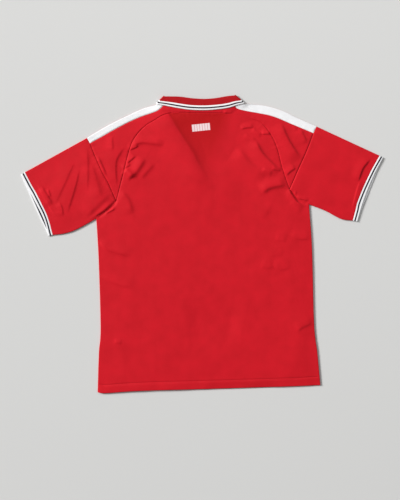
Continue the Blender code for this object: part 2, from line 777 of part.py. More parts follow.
front_panel()
back_panel()
back_yoke()
for half, word in ((LEFT, "left"), (RIGHT, "right")):
    shoulder_band(half, "shoulder_band_" + word)
    sleeve(half, "sleeve_" + word)
    cuff(half, "cuff_" + word)
collar()
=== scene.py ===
# %% [markdown]
# # A football jersey, laid flat with its back up
#
# A jersey is a few flat pieces of thin polyester knit, sewn edge to edge. Laid on a
# table, it becomes two layers of cloth with a fold or a seam all round, and its look
# comes from small things: soft creases, the turned hem, striped ribs and the knit.
# The plan is simple. Every seam is a line in plan, each piece is a net stretched
# between its lines, and a height is then given to each knot of the net.

# %% Load the fixed frame
import math
from collections import namedtuple
from functools import partialmethod

import bmesh
import bpy
import numpy as np
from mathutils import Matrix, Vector, noise


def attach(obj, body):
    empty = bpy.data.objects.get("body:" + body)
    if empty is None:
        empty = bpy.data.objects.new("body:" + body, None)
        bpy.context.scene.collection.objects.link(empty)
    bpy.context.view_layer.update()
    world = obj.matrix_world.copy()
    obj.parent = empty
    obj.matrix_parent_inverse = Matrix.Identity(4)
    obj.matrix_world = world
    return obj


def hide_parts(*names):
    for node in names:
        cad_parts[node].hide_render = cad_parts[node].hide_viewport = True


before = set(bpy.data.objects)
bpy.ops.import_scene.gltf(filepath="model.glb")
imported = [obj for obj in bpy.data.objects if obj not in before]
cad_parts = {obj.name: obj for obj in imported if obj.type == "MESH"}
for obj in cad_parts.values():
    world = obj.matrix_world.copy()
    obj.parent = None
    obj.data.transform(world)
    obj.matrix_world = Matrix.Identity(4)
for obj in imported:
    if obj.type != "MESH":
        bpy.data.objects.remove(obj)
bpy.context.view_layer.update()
MM = 0.001


# %% [markdown]
# ## Cloth and thread
#
# Jersey knit is under a millimetre thick and rib is thicker. Where two pieces are
# sewn, their edges leave a hair of a gap. At a side seam the cloth bends over, with a
# small upright stretch and a round one, so the layers are 3.5 mm apart.

# %% Walls, gaps and bends
CLOTH = 0.8 * MM
RIB = 1.3 * MM
HEM_WALL = 1.5 * MM
SEAM_GAP = 0.08 * MM
UPRIGHT = 0.45 * MM
ARC = 1.3 * MM
EDGE_HALF = UPRIGHT + ARC
BEND_STEPS = 4
HEM_DEPTH = 20 * MM
# Steps of a net in plan: up and round a bend, next to a seam, and over the turned hem.
CURL = np.concatenate([[0.0], ARC * (1 - np.cos(np.linspace(0, math.pi / 2, BEND_STEPS + 1)))])
SEWN = np.array([0.0, 0.6, 1.4, 2.6]) * MM
HEM_ROWS = np.array([0, 0.4, 1, 2, 5, 9, 13, 16, 18, 19.2, 20, 20.8, 22, 24, 27]) * MM
print("two layers stand", round(2 * EDGE_HALF / MM, 2), "mm high at a side seam")

# %% [markdown]
# ## The pattern
#
# A cutter keeps a pattern as a list of named places along each seam. The left and the
# right half differ a little, because the jersey was dropped and smoothed by hand.
# These are the same places that the solids are cut from, in millimetres.

# %% Places along the seams
HALVES = LEFT, RIGHT = -1, 1
Pair = namedtuple("Pair", "place left_x left_y right_x right_y")
Spot = namedtuple("Spot", "place x y")
Section = namedtuple("Section", "place fold_x fold_y free_x free_y stand")

# Places where several seams meet.
HEM_CORNER = Pair("hem", -256.5, -364.4, 291.8, -347.0)
UNDERARM = Pair("underarm", -259.8, 62.7, 264.0, 97.6)
TUCK_CORNER = Pair("corner", -256.0, 70.5, 259.0, 104.4)
BACK_FOOT = Pair("foot", -210.5, 106.5, 216.0, 135.3)
FRONT_FOOT = Pair("foot", -214.0, 101.0, 218.0, 128.0)
BAND_CORNER = Pair("band", -275.2, 248.1, 275.0, 273.0)
SHOULDER_TIP = Pair("tip", -282.8, 261.4, 282.3, 289.6)
CUFF_TOP = Pair("cuff", -435.5, 177.0, 437.5, 217.8)
CUFF_FOOT = Pair("cuff", -366.9, 22.5, 371.3, 57.9)

SIDE = (
    HEM_CORNER,
    Pair("hip", -253.5, -268.0, 284.7, -268.0),
    Pair("waist", -249.3, -206.0, 276.5, -195.0),
    Pair("chest", -254.0, -39.0, 271.5, -14.0),
    UNDERARM,
)
TUCK = (UNDERARM, TUCK_CORNER, Pair("middle", -229.1, 85.3, 239.0, 108.0), BACK_FOOT)
FRONT_TUCK = (UNDERARM, TUCK_CORNER, FRONT_FOOT)
BACK_ARMHOLE = (
    BACK_FOOT,
    Pair("lower", -229.2, 148.7, 221.0, 146.3),
    Pair("middle", -244.7, 176.8, 237.3, 183.1),
    Pair("upper", -260.1, 210.9, 257.7, 227.9),
    BAND_CORNER,
)
FRONT_ARMHOLE = (
    FRONT_FOOT,
    Pair("lower", -226.0, 150.0, 226.0, 172.0),
    Pair("upper", -256.0, 210.0, 256.0, 232.0),
    SHOULDER_TIP,
)
BAND_END = (BAND_CORNER, SHOULDER_TIP)
BAND_SEAM = (
    BAND_CORNER,
    Pair("outer", -195.7, 292.1, 225.5, 293.6),
    Pair("middle", -152.2, 312.3, 168.9, 316.2),
    Pair("inner", -108.5, 328.4, 90.0, 332.5),
)
SHOULDER = (
    SHOULDER_TIP,
    Pair("outer", -230.9, 292.1, 240.0, 308.0),
    Pair("middle", -182.7, 316.0, 196.0, 328.8),
    Pair("inner", -145.0, 333.2, 150.0, 341.4),
)
RAGLAN = (
    BACK_FOOT,
    Pair("blade", -194.7, 167.4, 197.4, 190.5),
    Pair("shoulder", -177.5, 234.0, 187.8, 228.9),
    Pair("bend", -163.7, 263.8, 175.0, 260.9),
    Pair("corner", -140.0, 290.0, 150.0, 296.0),
)
ARCH = (
    Pair("rise", -117.0, 304.4, 120.0, 308.0),
    Pair("haunch", -91.9, 318.4, 88.7, 318.4),
    Pair("crown", -55.0, 323.4, 55.0, 321.8),
)
SLEEVE_UPPER = (SHOULDER_TIP, CUFF_TOP)
SLEEVE_LOWER = (
    UNDERARM,
    Pair("inner", -292.4, 44.4, 303.0, 82.5),
    Pair("middle", -318.0, 32.0, 328.0, 69.0),
    Pair("outer", -342.0, 25.4, 346.0, 61.0),
    CUFF_FOOT,
)
CUFF_UPPER = (CUFF_TOP, Pair("rim", -445.4, 170.8, 446.1, 213.4))
CUFF_LOWER = (CUFF_FOOT, Pair("rim", -377.0, 20.0, 382.2, 55.4))
HEM = (
    Spot("left corner", HEM_CORNER.left_x, HEM_CORNER.left_y),
    Spot("dip", -237.0, -366.9),
    Spot("left", -152.2, -361.3),
    Spot("middle", 20.0, -356.3),
    Spot("right", 200.0, -350.8),
    Spot("right corner", HEM_CORNER.right_x, HEM_CORNER.right_y),
)
V_TIP = Spot("tip of the V neck", 22.6, 128.0)
CENTRE_FOOT = Spot("middle of the front, below the V", 22.6, 108.0)
Bow = namedtuple("Bow", "seam rim lean")  # how far a cuff's two edges bow, and their lean
CUFF_BOW = {
    (LEFT, "upper"): Bow(5.0, 5.0, 0.5),
    (LEFT, "under"): Bow(-1.4, -1.5, 0.0),
    (RIGHT, "upper"): Bow(6.5, 6.0, 0.0),
    (RIGHT, "under"): Bow(2.5, 0.5, 0.0),
}
print("hem to shoulder:", round(SHOULDER[3].left_y - HEM[0].y), "mm")

# %% [markdown]
# The collar is one strip of rib: a stand that rises from the neck seam, a fold, and a
# fall that comes down over it. A few sections say where its fold and its free edge
# lie, from the left leaf of the V round the back to the right leaf.

# %% Sections of the collar
LEFT_SIDE = Section("left side", -91.4, 363.4, -110.4, 343.8, 20)
RIGHT_SIDE = Section("right side", 79.8, 365.6, 103.6, 345.5, 21)
LEFT_LEAF = (
    Section("left tip", 18.8, 143.0, -5.3, 128.8, 3),
    Section("left low", -2.1, 194.7, -26.7, 179.9, 14),
    Section("left middle", -29.2, 248.8, -53.8, 234.1, 20),
    Section("left high", -63.6, 310.3, -88.2, 295.6, 21),
    LEFT_SIDE,
)
BACK_NECK = (
    LEFT_SIDE,
    Section("left band", -77.0, 363.4, -94.5, 341.4, 20),
    Section("left back", -52.0, 362.7, -60.0, 334.8, 20),
    Section("left middle", -24.2, 359.0, -28.0, 330.4, 20),
    Section("centre", 7.7, 357.3, 7.7, 329.3, 20),
    Section("right middle", 35.0, 359.5, 40.0, 331.5, 20),
    Section("right back", 57.0, 363.3, 67.0, 335.6, 20),
    Section("right band", 70.0, 365.0, 88.5, 342.2, 20),
    RIGHT_SIDE,
)
RIGHT_LEAF = (
    RIGHT_SIDE,
    Section("right high", 64.3, 307.9, 92.6, 300.5, 21),
    Section("right middle", 48.3, 251.3, 75.4, 243.9, 20),
    Section("right low", 34.8, 197.2, 61.9, 189.8, 14),
    Section("right tip", 26.2, 143.0, 53.0, 135.7, 3),
)
print(len(LEFT_LEAF + BACK_NECK + RIGHT_LEAF) - 2, "sections of the collar")

# %% [markdown]
# ## Lines
#
# A seam is a smooth line through its places. The helpers walk along a line and mark
# steps on it, closer together next to a seam, a bend or the hem, where the cloth
# turns sharply.

# %% Walking along a line
def points_of(rows, side=None):
    """The rows' points in plan, in metres. A Pair has its right half's x and y last."""
    column = Pair._fields.index("right_x") if side == RIGHT else Spot._fields.index("x")
    return np.array([row[column:column + 2] for row in rows]) * MM


def lengths(line):
    """The way along a line to each of its points."""
    steps = np.linalg.norm(np.diff(line, axis=0), axis=1)
    return np.concatenate([[0.0], np.cumsum(steps)])


def at(line, ways):
    """The points at these ways along a line."""
    run = lengths(line)
    return np.stack([np.interp(ways, run, line[:, axis]) for axis in range(line.shape[1])], 1)


FINENESS = 12  # steps of a smooth line between two of its points


def curved(points, fineness=FINENESS):
    """A smooth line through a few points (a Catmull-Rom spline)."""
    if len(points) < 3:
        return points
    ends = np.vstack([2 * points[0] - points[1], points, 2 * points[-1] - points[-2]])
    pieces = []
    for before, start, stop, after in zip(ends, ends[1:], ends[2:], ends[3:]):
        for t in np.arange(fineness) / fineness:
            pull = 2 * before - 5 * start + 4 * stop - after
            turn = 3 * (start - stop) + after - before
            pieces.append(start + 0.5 * t * ((stop - before) + t * (pull + t * turn)))
    return np.vstack([pieces, points[-1:]])


EVEN = ((0, 0), (1, 1))
PLAIN_END = (0.0,)


def stepped(path, steps, start=PLAIN_END, end=PLAIN_END, grade=EVEN):
    """Steps along a path, with the closer steps of its start and its end. A grade gives
    the share of the way that a share of the steps has reached."""
    total = lengths(path)[-1]
    share = np.interp(np.linspace(0, 1, steps + 1), *zip(*grade))
    ways = start[-1] + share * (total - end[-1] - start[-1])
    return at(path, np.concatenate([start[:-1], ways, total - np.array(end[:-1])[::-1]]))


def seam(points, steps, start=PLAIN_END, end=PLAIN_END, grade=EVEN):
    """Steps along the smooth line through points."""
    return stepped(curved(points), steps, start, end, grade)


def joined(*lines):
    """Lines one after another, with each shared end kept once."""
    return np.vstack([lines[0]] + [line[1:] for line in lines[1:]])


def bowed(start, stop, steps, bow, towards, lean=0.0):
    """A line from start to stop with closed ends, bowed by so much towards a point. Its
    quarter points lie at three quarters of the bow, as on an arc, but for its lean."""
    chord = stop - start
    across = np.array([-chord[1], chord[0]]) / np.linalg.norm(chord)
    across *= np.sign(np.dot(across, towards - start)) * bow * MM
    middle = (start + stop) / 2 + across
    first = (start + middle) / 2 + across * (0.25 + lean)
    second = (middle + stop) / 2 + across * (0.25 - lean / 2)
    return seam(np.array([start, first, middle, second, stop]), steps, CURL, CURL)


def miters(line):
    """The sideways direction at each point of a line, so long that a line moved by it
    keeps its distance."""
    way = np.diff(line, axis=0)
    way /= np.linalg.norm(way, axis=1)[:, None]
    side = np.stack([-way[:, 1], way[:, 0]], 1)
    before, after = np.vstack([side[:1], side]), np.vstack([side, side[-1:]])
    return (before + after) / (1 + (before * after).sum(1))[:, None]


def nearest(points, line):
    """For each point, the way to it from the nearest place on a line, the share of the
    way along the line, and the side: 1 on the right hand and -1 on the left."""
    start, way = line[:-1], np.diff(line, axis=0)
    keep = (way**2).sum(1) > 0
    start, way = start[keep], way[keep]
    size = np.linalg.norm(way, axis=1)
    away = points[:, None, :] - start
    part = np.clip((away * way).sum(2) / size**2, 0, 1)
    gap = away - part[..., None] * way
    best = (gap**2).sum(2).argmin(1)
    row = np.arange(len(points))
    share = (np.cumsum(size)[best] - (1 - part[row, best]) * size[best]) / size.sum()
    gap = gap[row, best]
    return gap, share, -np.sign(way[best, 0] * gap[:, 1] - way[best, 1] * gap[:, 0])


def beside(points, line):
    """For each point, the distance to a line, the share of the way and the side."""
    gap, share, side = nearest(points, line)
    return np.linalg.norm(gap, axis=1), share, side


def distance(points, *lines):
    """The least distance from each point to any of the lines."""
    return np.min([beside(points, line)[0] for line in lines], axis=0)


def inside(points, loop):
    """Whether each point lies inside a closed loop."""
    found = np.zeros(len(points), bool)
    for (ax, ay), (bx, by) in zip(loop, np.roll(loop, -1, axis=0)):
        crosses = (ay > points[:, 1]) != (by > points[:, 1])
        reach = (bx - ax) * (points[:, 1] - ay) / (by - ay if by != ay else 1) + ax
        found ^= crosses & (points[:, 0] < reach)
    return found


def eased(share):
    """0 below 0 and 1 above 1, with a smooth step between."""
    share = np.clip(share, 0.0, 1.0)
    return share * share * (3 - 2 * share)


HEM_LINE = curved(points_of(HEM))
print("the hem is", round(lengths(HEM_LINE)[-1] / MM), "mm wide")

# %% [markdown]
# The neck seam follows from the collar: it runs where the stand ends. So the collar's
# sections come first and the body's neck edge is read from them.

# %% The neck seam and the V
LEAF_STEPS = 10
NECK_LIFT, NECK_REACH = 1.6 * MM, 22 * MM
STAND_FACE = 0.2 * MM
FALL_FACE = NECK_LIFT + EDGE_HALF
FOLD_RADIUS = (FALL_FACE - STAND_FACE) / 2
COLLAR_COVER = 10 * MM


def collar_sections(rows):
    """The sections at each step: where the fold turns, the way to the free edge, and
    the widths of the stand and the fall."""
    table = np.array([(r.fold_x, r.fold_y, r.free_x, r.free_y, r.stand) for r in rows]) * MM
    table = curved(table, LEAF_STEPS)
    fold, free, stand = table[:, 0:2], table[:, 2:4], table[:, 4]
    width = np.linalg.norm(free - fold, axis=1)
    down = (free - fold) / width[:, None]
    return fold + down * FOLD_RADIUS, down, stand, width - FOLD_RADIUS


def neck_seam(rows):
    """The line on which the collar's stand is sewn to the body."""
    turn, down, stand, _ = collar_sections(rows)
    return turn + down * stand[:, None]


def fold_line(rows):
    """The collar's folded edge in plan."""
    turn, down, _, _ = collar_sections(rows)
    return turn - down * FOLD_RADIUS


def outward(rows, place):
    """The direction out of the neck at the section where front and back meet."""
    down = collar_sections(rows)[1][place]
    side = np.array([-down[1], down[0]])
    return side * np.sign(side[1])


V_SEAM = {LEFT: neck_seam(LEFT_LEAF), RIGHT: neck_seam(RIGHT_LEAF)[::-1]}
NECK = neck_seam(BACK_NECK)
NECK_END = {
    LEFT: V_SEAM[LEFT][-1] + ARC * outward(LEFT_LEAF, -1),
    RIGHT: V_SEAM[RIGHT][-1] + ARC * outward(RIGHT_LEAF, 0),
}
NECK_COVER = {
    LEFT: NECK_END[LEFT] + COLLAR_COVER * collar_sections(LEFT_LEAF)[1][-1],
    RIGHT: NECK_END[RIGHT] + COLLAR_COVER * collar_sections(RIGHT_LEAF)[1][0],
}
V_LINE = np.vstack([fold_line(LEFT_LEAF)[::-1], fold_line(RIGHT_LEAF)[::-1]])
print("the back neck seam is", round(lengths(NECK)[-1] / MM), "mm long")

# %% [markdown]
# Now every line is marked with its steps. Two lines that face each other across a
# piece need the same count, as the two long sides of a net do.

# %% All lines, marked once
SIDE_ROWS, TUCK_STEPS, ARMHOLE_STEPS, RAGLAN_STEPS, ARCH_STEPS = 148, 20, 66, 84, 140
SHOULDER_STEPS, FRONT_ARMHOLE_STEPS, SLEEVE_ROWS, CUFF_ROWS = 50, 50, 70, 10
YOKE_ROWS, BAND_STEPS, NECK_STEPS = 32, 7, 60
SLEEVE_START = TUCK_STEPS + len(CURL) - 2  # the rows of a sleeve along its underarm seam
SIDE_GRADE = ((0, 0), (0.6, 0.7), (1, 1))  # the net is closer towards the underarms
TIP = (3 * MM,)  # the yoke's pointed ends are cut this much short

LEFT_SEAM, RIGHT_SEAM = (points_of(RAGLAN + ARCH, half) for half in HALVES)
INNER_SEAM = curved(np.vstack([LEFT_SEAM, RIGHT_SEAM[::-1]]))
RAGLAN_POINTS = (len(RAGLAN) - 1) * FINENESS + 1
RAGLAN_PATH = {LEFT: INNER_SEAM[:RAGLAN_POINTS], RIGHT: INNER_SEAM[::-1][:RAGLAN_POINTS]}
ARCH_LINE = stepped(INNER_SEAM[RAGLAN_POINTS - 1:1 - RAGLAN_POINTS], ARCH_STEPS, SEWN, SEWN)

LINES = {}
for half in HALVES:
    shoulder = np.vstack([points_of(SHOULDER, half), NECK_COVER[half]])
    neck_half = NECK if half == LEFT else NECK[::-1]
    band_seam = np.vstack([points_of(BAND_SEAM, half), neck_half[LEAF_STEPS]])
    band_neck = np.vstack([neck_half[LEAF_STEPS], neck_half[0], NECK_END[half]])
    LINES[half] = {
        "side": seam(points_of(SIDE, half), SIDE_ROWS, HEM_ROWS, SEWN, SIDE_GRADE),
        "tuck": seam(points_of(TUCK, half), TUCK_STEPS, CURL),
        "armhole": seam(points_of(BACK_ARMHOLE, half), ARMHOLE_STEPS),
        "band end": seam(points_of(BAND_END, half), BAND_STEPS, SEWN, CURL),
        "raglan": stepped(RAGLAN_PATH[half], RAGLAN_STEPS, end=SEWN),
        "shoulder": np.vstack([seam(shoulder, SHOULDER_STEPS - 1, SEWN), NECK_END[half]]),
        "band seam": seam(band_seam, SHOULDER_STEPS, SEWN),
        "band neck": stepped(band_neck, BAND_STEPS, SEWN, CURL),
        "front tuck": seam(points_of(FRONT_TUCK, half), TUCK_STEPS, CURL),
        "front armhole": seam(points_of(FRONT_ARMHOLE, half), FRONT_ARMHOLE_STEPS, end=CURL),
        "sleeve upper": seam(points_of(SLEEVE_UPPER, half), SLEEVE_ROWS, SEWN, SEWN),
        "sleeve fold": seam(points_of(SLEEVE_UPPER, half), SLEEVE_ROWS + SLEEVE_START, SEWN, SEWN),
        "sleeve lower": seam(points_of(SLEEVE_LOWER, half), SLEEVE_ROWS, SEWN, SEWN),
        "cuff upper": seam(points_of(CUFF_UPPER, half), CUFF_ROWS, SEWN[:2], SEWN[:2]),
        "cuff lower": seam(points_of(CUFF_LOWER, half), CUFF_ROWS, SEWN[:2], SEWN[:2]),
    }
CLOSED_NAMES = ("side", "shoulder", "sleeve upper", "sleeve lower", "cuff upper", "cuff lower")
CLOSED_EDGES = [LINES[half][name] for half in HALVES for name in CLOSED_NAMES]


def sleeve_rings(half):
    """The lines across a sleeve and its cuff, for the under and the upper ply: the
    armhole, the cuff seam and the rim, each from the lower side to the folded edge."""
    lines = LINES[half]
    armhole = {
        "under": stepped(lines["front armhole"], FRONT_ARMHOLE_STEPS, CURL, CURL),
        "upper": joined(stepped(lines["armhole"], ARMHOLE_STEPS, CURL), lines["band end"]),
    }
    rings = {}
    for ply, line in armhole.items():
        steps = len(line) - 1 - 2 * (len(CURL) - 1)
        ends = lines["sleeve lower"][-1], lines["sleeve upper"][-1]
        rims = lines["cuff lower"][-1], lines["cuff upper"][-1]
        bow, towards = CUFF_BOW[half, ply], lines["tuck"][-1]
        rings[ply] = (line, bowed(*ends, steps, bow.seam, towards, bow.lean),
                      bowed(*rims, steps, bow.rim, towards, bow.lean))
    return rings


RINGS = {half: sleeve_rings(half) for half in HALVES}
CUFF_SEAMS, CUFF_RIMS = ([RINGS[half]["upper"][ring] for half in HALVES] for ring in (1, 2))
print(len(LINES[LEFT]), "lines on each half")

# %% [markdown]
# ## Folds
#
# A crease in thin knit has a gentle side and a steep one, and the steep side is what
# the eye sees, as a dark or a bright stroke. Each row gives the path of that stroke,
# how far the cloth rises from the left hand and falls to the right, and the height,
# all in millimetres. The front lies on the table and keeps softer ones.

# %% The table of folds
Fold = namedtuple("Fold", "place rise fall height path")
FOLDS = (
    Fold("left cuff nick", 20, 3, 2.2, ((-366, 99), (-381, 122), (-393, 142))),
    Fold("left cuff nick, small", 7.4, 1.8, 1.4, ((-371, 116), (-377, 136))),
    Fold("left cuff roll", 2.4, 9.8, 0.8, ((-362, 67), (-386, 110), (-409, 152))),
    Fold("left sleeve nick", 16, 2.4, 1.4, ((-341, 69), (-343, 89), (-350, 104))),
    Fold("left sleeve fold, outer", 24, 3.8, 1.2, ((-360, 99), (-335, 152), (-311, 205))),
    Fold("left sleeve fold, middle", 26, 3.2, 1.6, ((-331, 74), (-310, 142), (-300, 187))),
    Fold("left sleeve fold, inner", 24, 4, 1.4, ((-281, 131), (-279, 195), (-282, 239))),
    Fold("left armhole fold", 24, 8, 2.2, ((-244, 114), (-257, 161), (-271, 200))),
    Fold("left underarm roll, dark side", 26, 9, 2.3, ((-285, 62), (-254, 93), (-223, 123))),
    Fold("left underarm nick", 6, 2.2, 1.9, ((-239, 74), (-226, 80), (-212, 87))),
    Fold("left underarm roll, light side", 8, 2.9, 2.2, ((-275, 52), (-248, 74), (-219, 102))),
    Fold("left yoke pleat", 12, 2.2, 1.1, ((-218, 229), (-220, 267))),
    Fold("left yoke fold", 30, 3.8, 1.9, ((-208, 143), (-211, 182), (-208, 209), (-188, 241))),
    Fold("left armhole pleat", 11, 2.6, 2.0, ((-234, 169), (-241, 186), (-255, 217))),
    Fold("left blade fold, upper", 14, 4.6, 2.5, ((-173, 239), (-150, 248), (-123, 246), (-93, 241))),
    Fold("left blade pleat", 10, 1.9, 2, ((-185, 197), (-162, 217))),
    Fold("left blade pleat, upper", 9.7, 1.9, 2.2, ((-179, 230), (-155, 241))),
    Fold("left seam pleat", 9, 1.9, 1.9, ((-195, 182), (-174, 196))),
    Fold("left blade puff, left side", 9, 7.0, 5.2, ((-166, 166), (-177, 179), (-188, 189))),
    Fold("left blade puff, right side", 16, 7.4, 4, ((-173, 160), (-161, 173), (-148, 192), (-137, 211))),
    Fold("left blade fold, lower", 16, 6.0, 2.0, ((-150, 159), (-135, 175), (-115, 197))),
    Fold("left flank fold, upper", 18, 5.5, 2.2, ((-168, 74), (-176, 104), (-187, 122), (-203, 133))),
    Fold("right blade fold, long", 22, 4.4, 3.4, ((195, 180), (173, 200), (150, 225), (130, 261))),
    Fold("right blade fold, broad", 24, 7.7, 2.7, ((163, 173), (123, 198), (90, 239))),
    Fold("right blade nick", 8, 2.2, 2.1, ((146, 270), (169, 271))),
    Fold("right shoulder nick", 9, 2.4, 1.9, ((95, 282), (111, 286), (127, 286))),
    Fold("right blade crease, high", 9, 2.8, 1.5, ((149, 273), (136, 278), (126, 287))),
    Fold("right blade crease, small", 8, 2.6, 1.1, ((133, 259), (118, 265), (106, 273))),
    Fold("right blade nick, lower", 9.9, 2.2, 1.8, ((175, 176), (150, 189))),
    Fold("right blade nick, seam", 8, 2.2, 1.5, ((171, 184), (195, 180))),
    Fold("right foot fold", 18, 6.4, 4.0, ((148, 123), (170, 137), (208, 144))),
    Fold("arch nick", 6, 1.6, 1.6, ((52, 322), (77, 320))),
    Fold("right yoke fold", 24, 4.3, 3.2, ((244, 212), (221, 245), (207, 272), (195, 300))),
    Fold("right yoke fold, outer", 16, 3.1, 1.7, ((260, 249), (250, 271), (243, 287))),
    Fold("right yoke nick", 4.5, 1.7, 1.1, ((233, 278), (230, 291))),
    Fold("right yoke fold, low", 11, 2.5, 2.0, ((208, 168), (219, 179), (232, 187))),
    Fold("right cuff nick", 16, 2.4, 2.7, ((385, 153), (396, 185), (415, 209))),
    Fold("right cuff roll", 2.6, 12.6, 1.2, ((369, 86), (379, 126), (389, 160))),
    Fold("right underarm shade", 12, 4.5, 0.8, ((249, 85), (234, 95), (223, 109))),
    Fold("right tuck edge", 9, 2.2, 2.2, (
        (254, 97), (243, 100), (235, 105), (227, 115), (220, 126), (214, 137))),
    Fold("right underarm roll", 5, 2.4, 2.4, ((232, 117), (240, 111), (251, 108), (261, 103))),
    Fold("right underarm hook", 3, 1.8, 0.8, ((229, 120), (234, 130))),
    Fold("left flank fold", 14, 3.4, 1.8, ((-257, 10), (-241, -9), (-221, -19), (-174, -32))),
    Fold("left waist fold", 12, 2.8, 1.2, ((-251, -78), (-231, -91), (-201, -102), (-172, -110))),
    Fold("left hip nick", 6.8, 2.2, 1.2, ((-216, -242), (-198, -246))),
    Fold("right flank fold", 20, 3.4, 1.1, ((214, 24), (237, 12), (269, 12))),
    Fold("right flank nick", 16, 3, 0.7, ((179, 11), (208, 5))),
    Fold("right waist nick", 18, 4, 0.5, ((166, -31), (202, -26))),
    Fold("right waist fold, left", 20, 4.5, 0.9, ((142, -53), (158, -59), (177, -58))),
    Fold("right waist fold", 22, 4.5, 1.0, ((173, -46), (192, -64), (221, -56))),
    Fold("right hip fold", 18, 3.2, 1.5, ((234, -215), (251, -204), (273, -195))),
    Fold("right chest fold", 18, 8, 0.8, ((149, 57), (163, 79), (177, 102))),
)
V_EDGE = (
    (27, 138), (8, 168), (-7, 195), (-19, 222), (-32, 244),
    (-51, 270), (-73, 302), (-88, 325), (-100, 350),
)
HOLLOWS = (
    Fold("back hollow", 50, 50, -2.6, ((-40, -200), (34, -190), (100, -202))),
    Fold("ridge on the left leaf", 44, 18, 3.2, V_EDGE),
    Fold("bulge under the collar", 12, 13, 1.2, ((-80, 322), (0, 316), (85, 321))),
    Fold("left tuck", 3.6, 3.6, -2.6, ((-262, 64), (-240, 78), (-222, 92), (-206, 112))),
    Fold("right underarm slit", 2.0, 2.0, -3.6, ((234, 114), (240, 109), (251, 106), (261, 102))),
    Fold("right tuck", 2.4, 2.4, -2.4, (
        (217, 136), (223, 126), (231, 115), (238, 106), (249, 101), (262, 99))),
    Fold("right hip slope", 50, 26, 1.6, ((262, -330), (256, -250), (250, -150))),
)
print(len(FOLDS), "creases and", len(HOLLOWS), "broad forms")

# %% [markdown]
# A fold's section is half of one bell on each side of its crest, with its own width.
# The crest lies a little back from the path, so that the steep side falls on it. The
# net is gathered towards the creases as well, to be finest where the cloth turns.

# %% Heights of the folds
FOLD_FINENESS = 6
FOLD_REACH = 3.2  # how many of its widths a fold is worked out for
CREST_BACK = 0.7  # of the narrower width, from the path to the crest
FADE_FROM, FADE_WAY = 0.15, 0.3
GATHER, GATHER_REACH, GATHER_END, GATHER_FADE = 0.62, 9 * MM, 22.5 * MM, 8 * MM


def path_of(fold):
    """A fold's smooth path, in metres."""
    return curved(np.array(fold.path, float) * MM, FOLD_FINENESS)


def near_box(plan, path, reach):
    """Which points lie within reach of a path's box."""
    low, high = path.min(0) - reach, path.max(0) + reach
    return ((plan > low) & (plan < high)).all(1)


def fading(share):
    """How strong a fold is at a share of its way: it fades out at both ends."""
    return eased(FADE_FROM + share / FADE_WAY) * eased(FADE_FROM + (1 - share) / FADE_WAY)


def fold_heights(plan, folds):
    """The sum of the folds at each point."""
    total = np.zeros(len(plan))
    for fold in folds:
        path = path_of(fold)
        rise, fall = fold.rise * MM, fold.fall * MM
        near = near_box(plan, path, FOLD_REACH * max(rise, fall))
        far, share, side = beside(plan[near], path)
        off = far * side + CREST_BACK * min(rise, fall) * np.sign(rise - fall)
        shape = np.exp(-((off / np.where(off > 0, fall, rise)) ** 2))
        total[near] += fold.height * MM * shape * fading(share)
    return total


def gathered(grid):
    """A net in plan with its knots drawn towards the creases, so that they are finest
    where the cloth turns most. Knots next to a seam or an edge stay where they are."""
    plan = grid.reshape(-1, 2).copy()
    held = distance(plan, *SEAM_LINES, *CLOSED_EDGES, HEM_LINE, NECK)
    free = GATHER * eased((held - ARC) / GATHER_FADE)
    for fold in FOLDS:
        path = path_of(fold)
        near = near_box(plan, path, GATHER_END)
        gap, share, _ = nearest(plan[near], path)
        pull = free[near] * fading(share) * np.exp(-((gap**2).sum(1) / GATHER_REACH**2))
        plan[near] -= gap * pull[:, None]
    return plan.reshape(grid.shape)


def ripple(plan, size, seed):
    """A smooth, irregular wave between about -1 and 1."""
    return np.array([noise.noise(Vector((x / size, y / size, seed))) for x, y in plan])


print("the first crease is", round(lengths(path_of(FOLDS[0]))[-1] / MM), "mm long")

# %% [markdown]
# ## The two layers
#
# The under layer rests on the table. The upper one lies over it, lofts a little
# between the edges, sinks into the open V of the front and dips at each seam. Both
# rise round the neck, where the front half of the collar lies beneath them.

# %% Heights at the neck, the edges and the seams
SEWN_NAMES = ("raglan", "armhole", "tuck", "band seam", "band end")
SEAM_LINES = [ARCH_LINE] + [LINES[half][name] for half in HALVES for name in SEWN_NAMES]
SEAM_DIP, SEAM_WIDTH, CUFF_DIP = 0.9 * MM, 1.1 * MM, 0.2 * MM
STEP_DOWN, STEP_WEST, STEP_EAST, STEP_END = 0.65 * MM, 2.0 * MM, 18 * MM, 10 * MM
STEP_BEND = 1.4  # makes the short side of a step rounder than its long side
PUCKER, PUCKER_PITCH, PUCKER_LENGTH, PUCKER_REACH = 0.55 * MM, 7 * MM, 26 * MM, 9 * MM
PUCKER_SEED = 7.0


def neck_lift(plan, slope=NECK_REACH):
    """How far both layers are raised over the front half of the collar."""
    away = np.where(inside(plan, V_LINE), 0.0, distance(plan, V_LINE))
    return NECK_LIFT * (1 - eased((away - NECK_REACH) / slope))


def middle(plan):
    """Height half way between the layers, where a closed edge has its seam or fold."""
    return neck_lift(plan) + EDGE_HALF


def edge_rise(edge):
    """How far a layer's face lies from mid height, next to a closed edge."""
    return UPRIGHT + np.sqrt(ARC**2 - (ARC - np.minimum(edge, ARC)) ** 2)


def bell(away, width):
    """1 on a line and 0 well beyond this width."""
    return np.exp(-((away / width) ** 2))


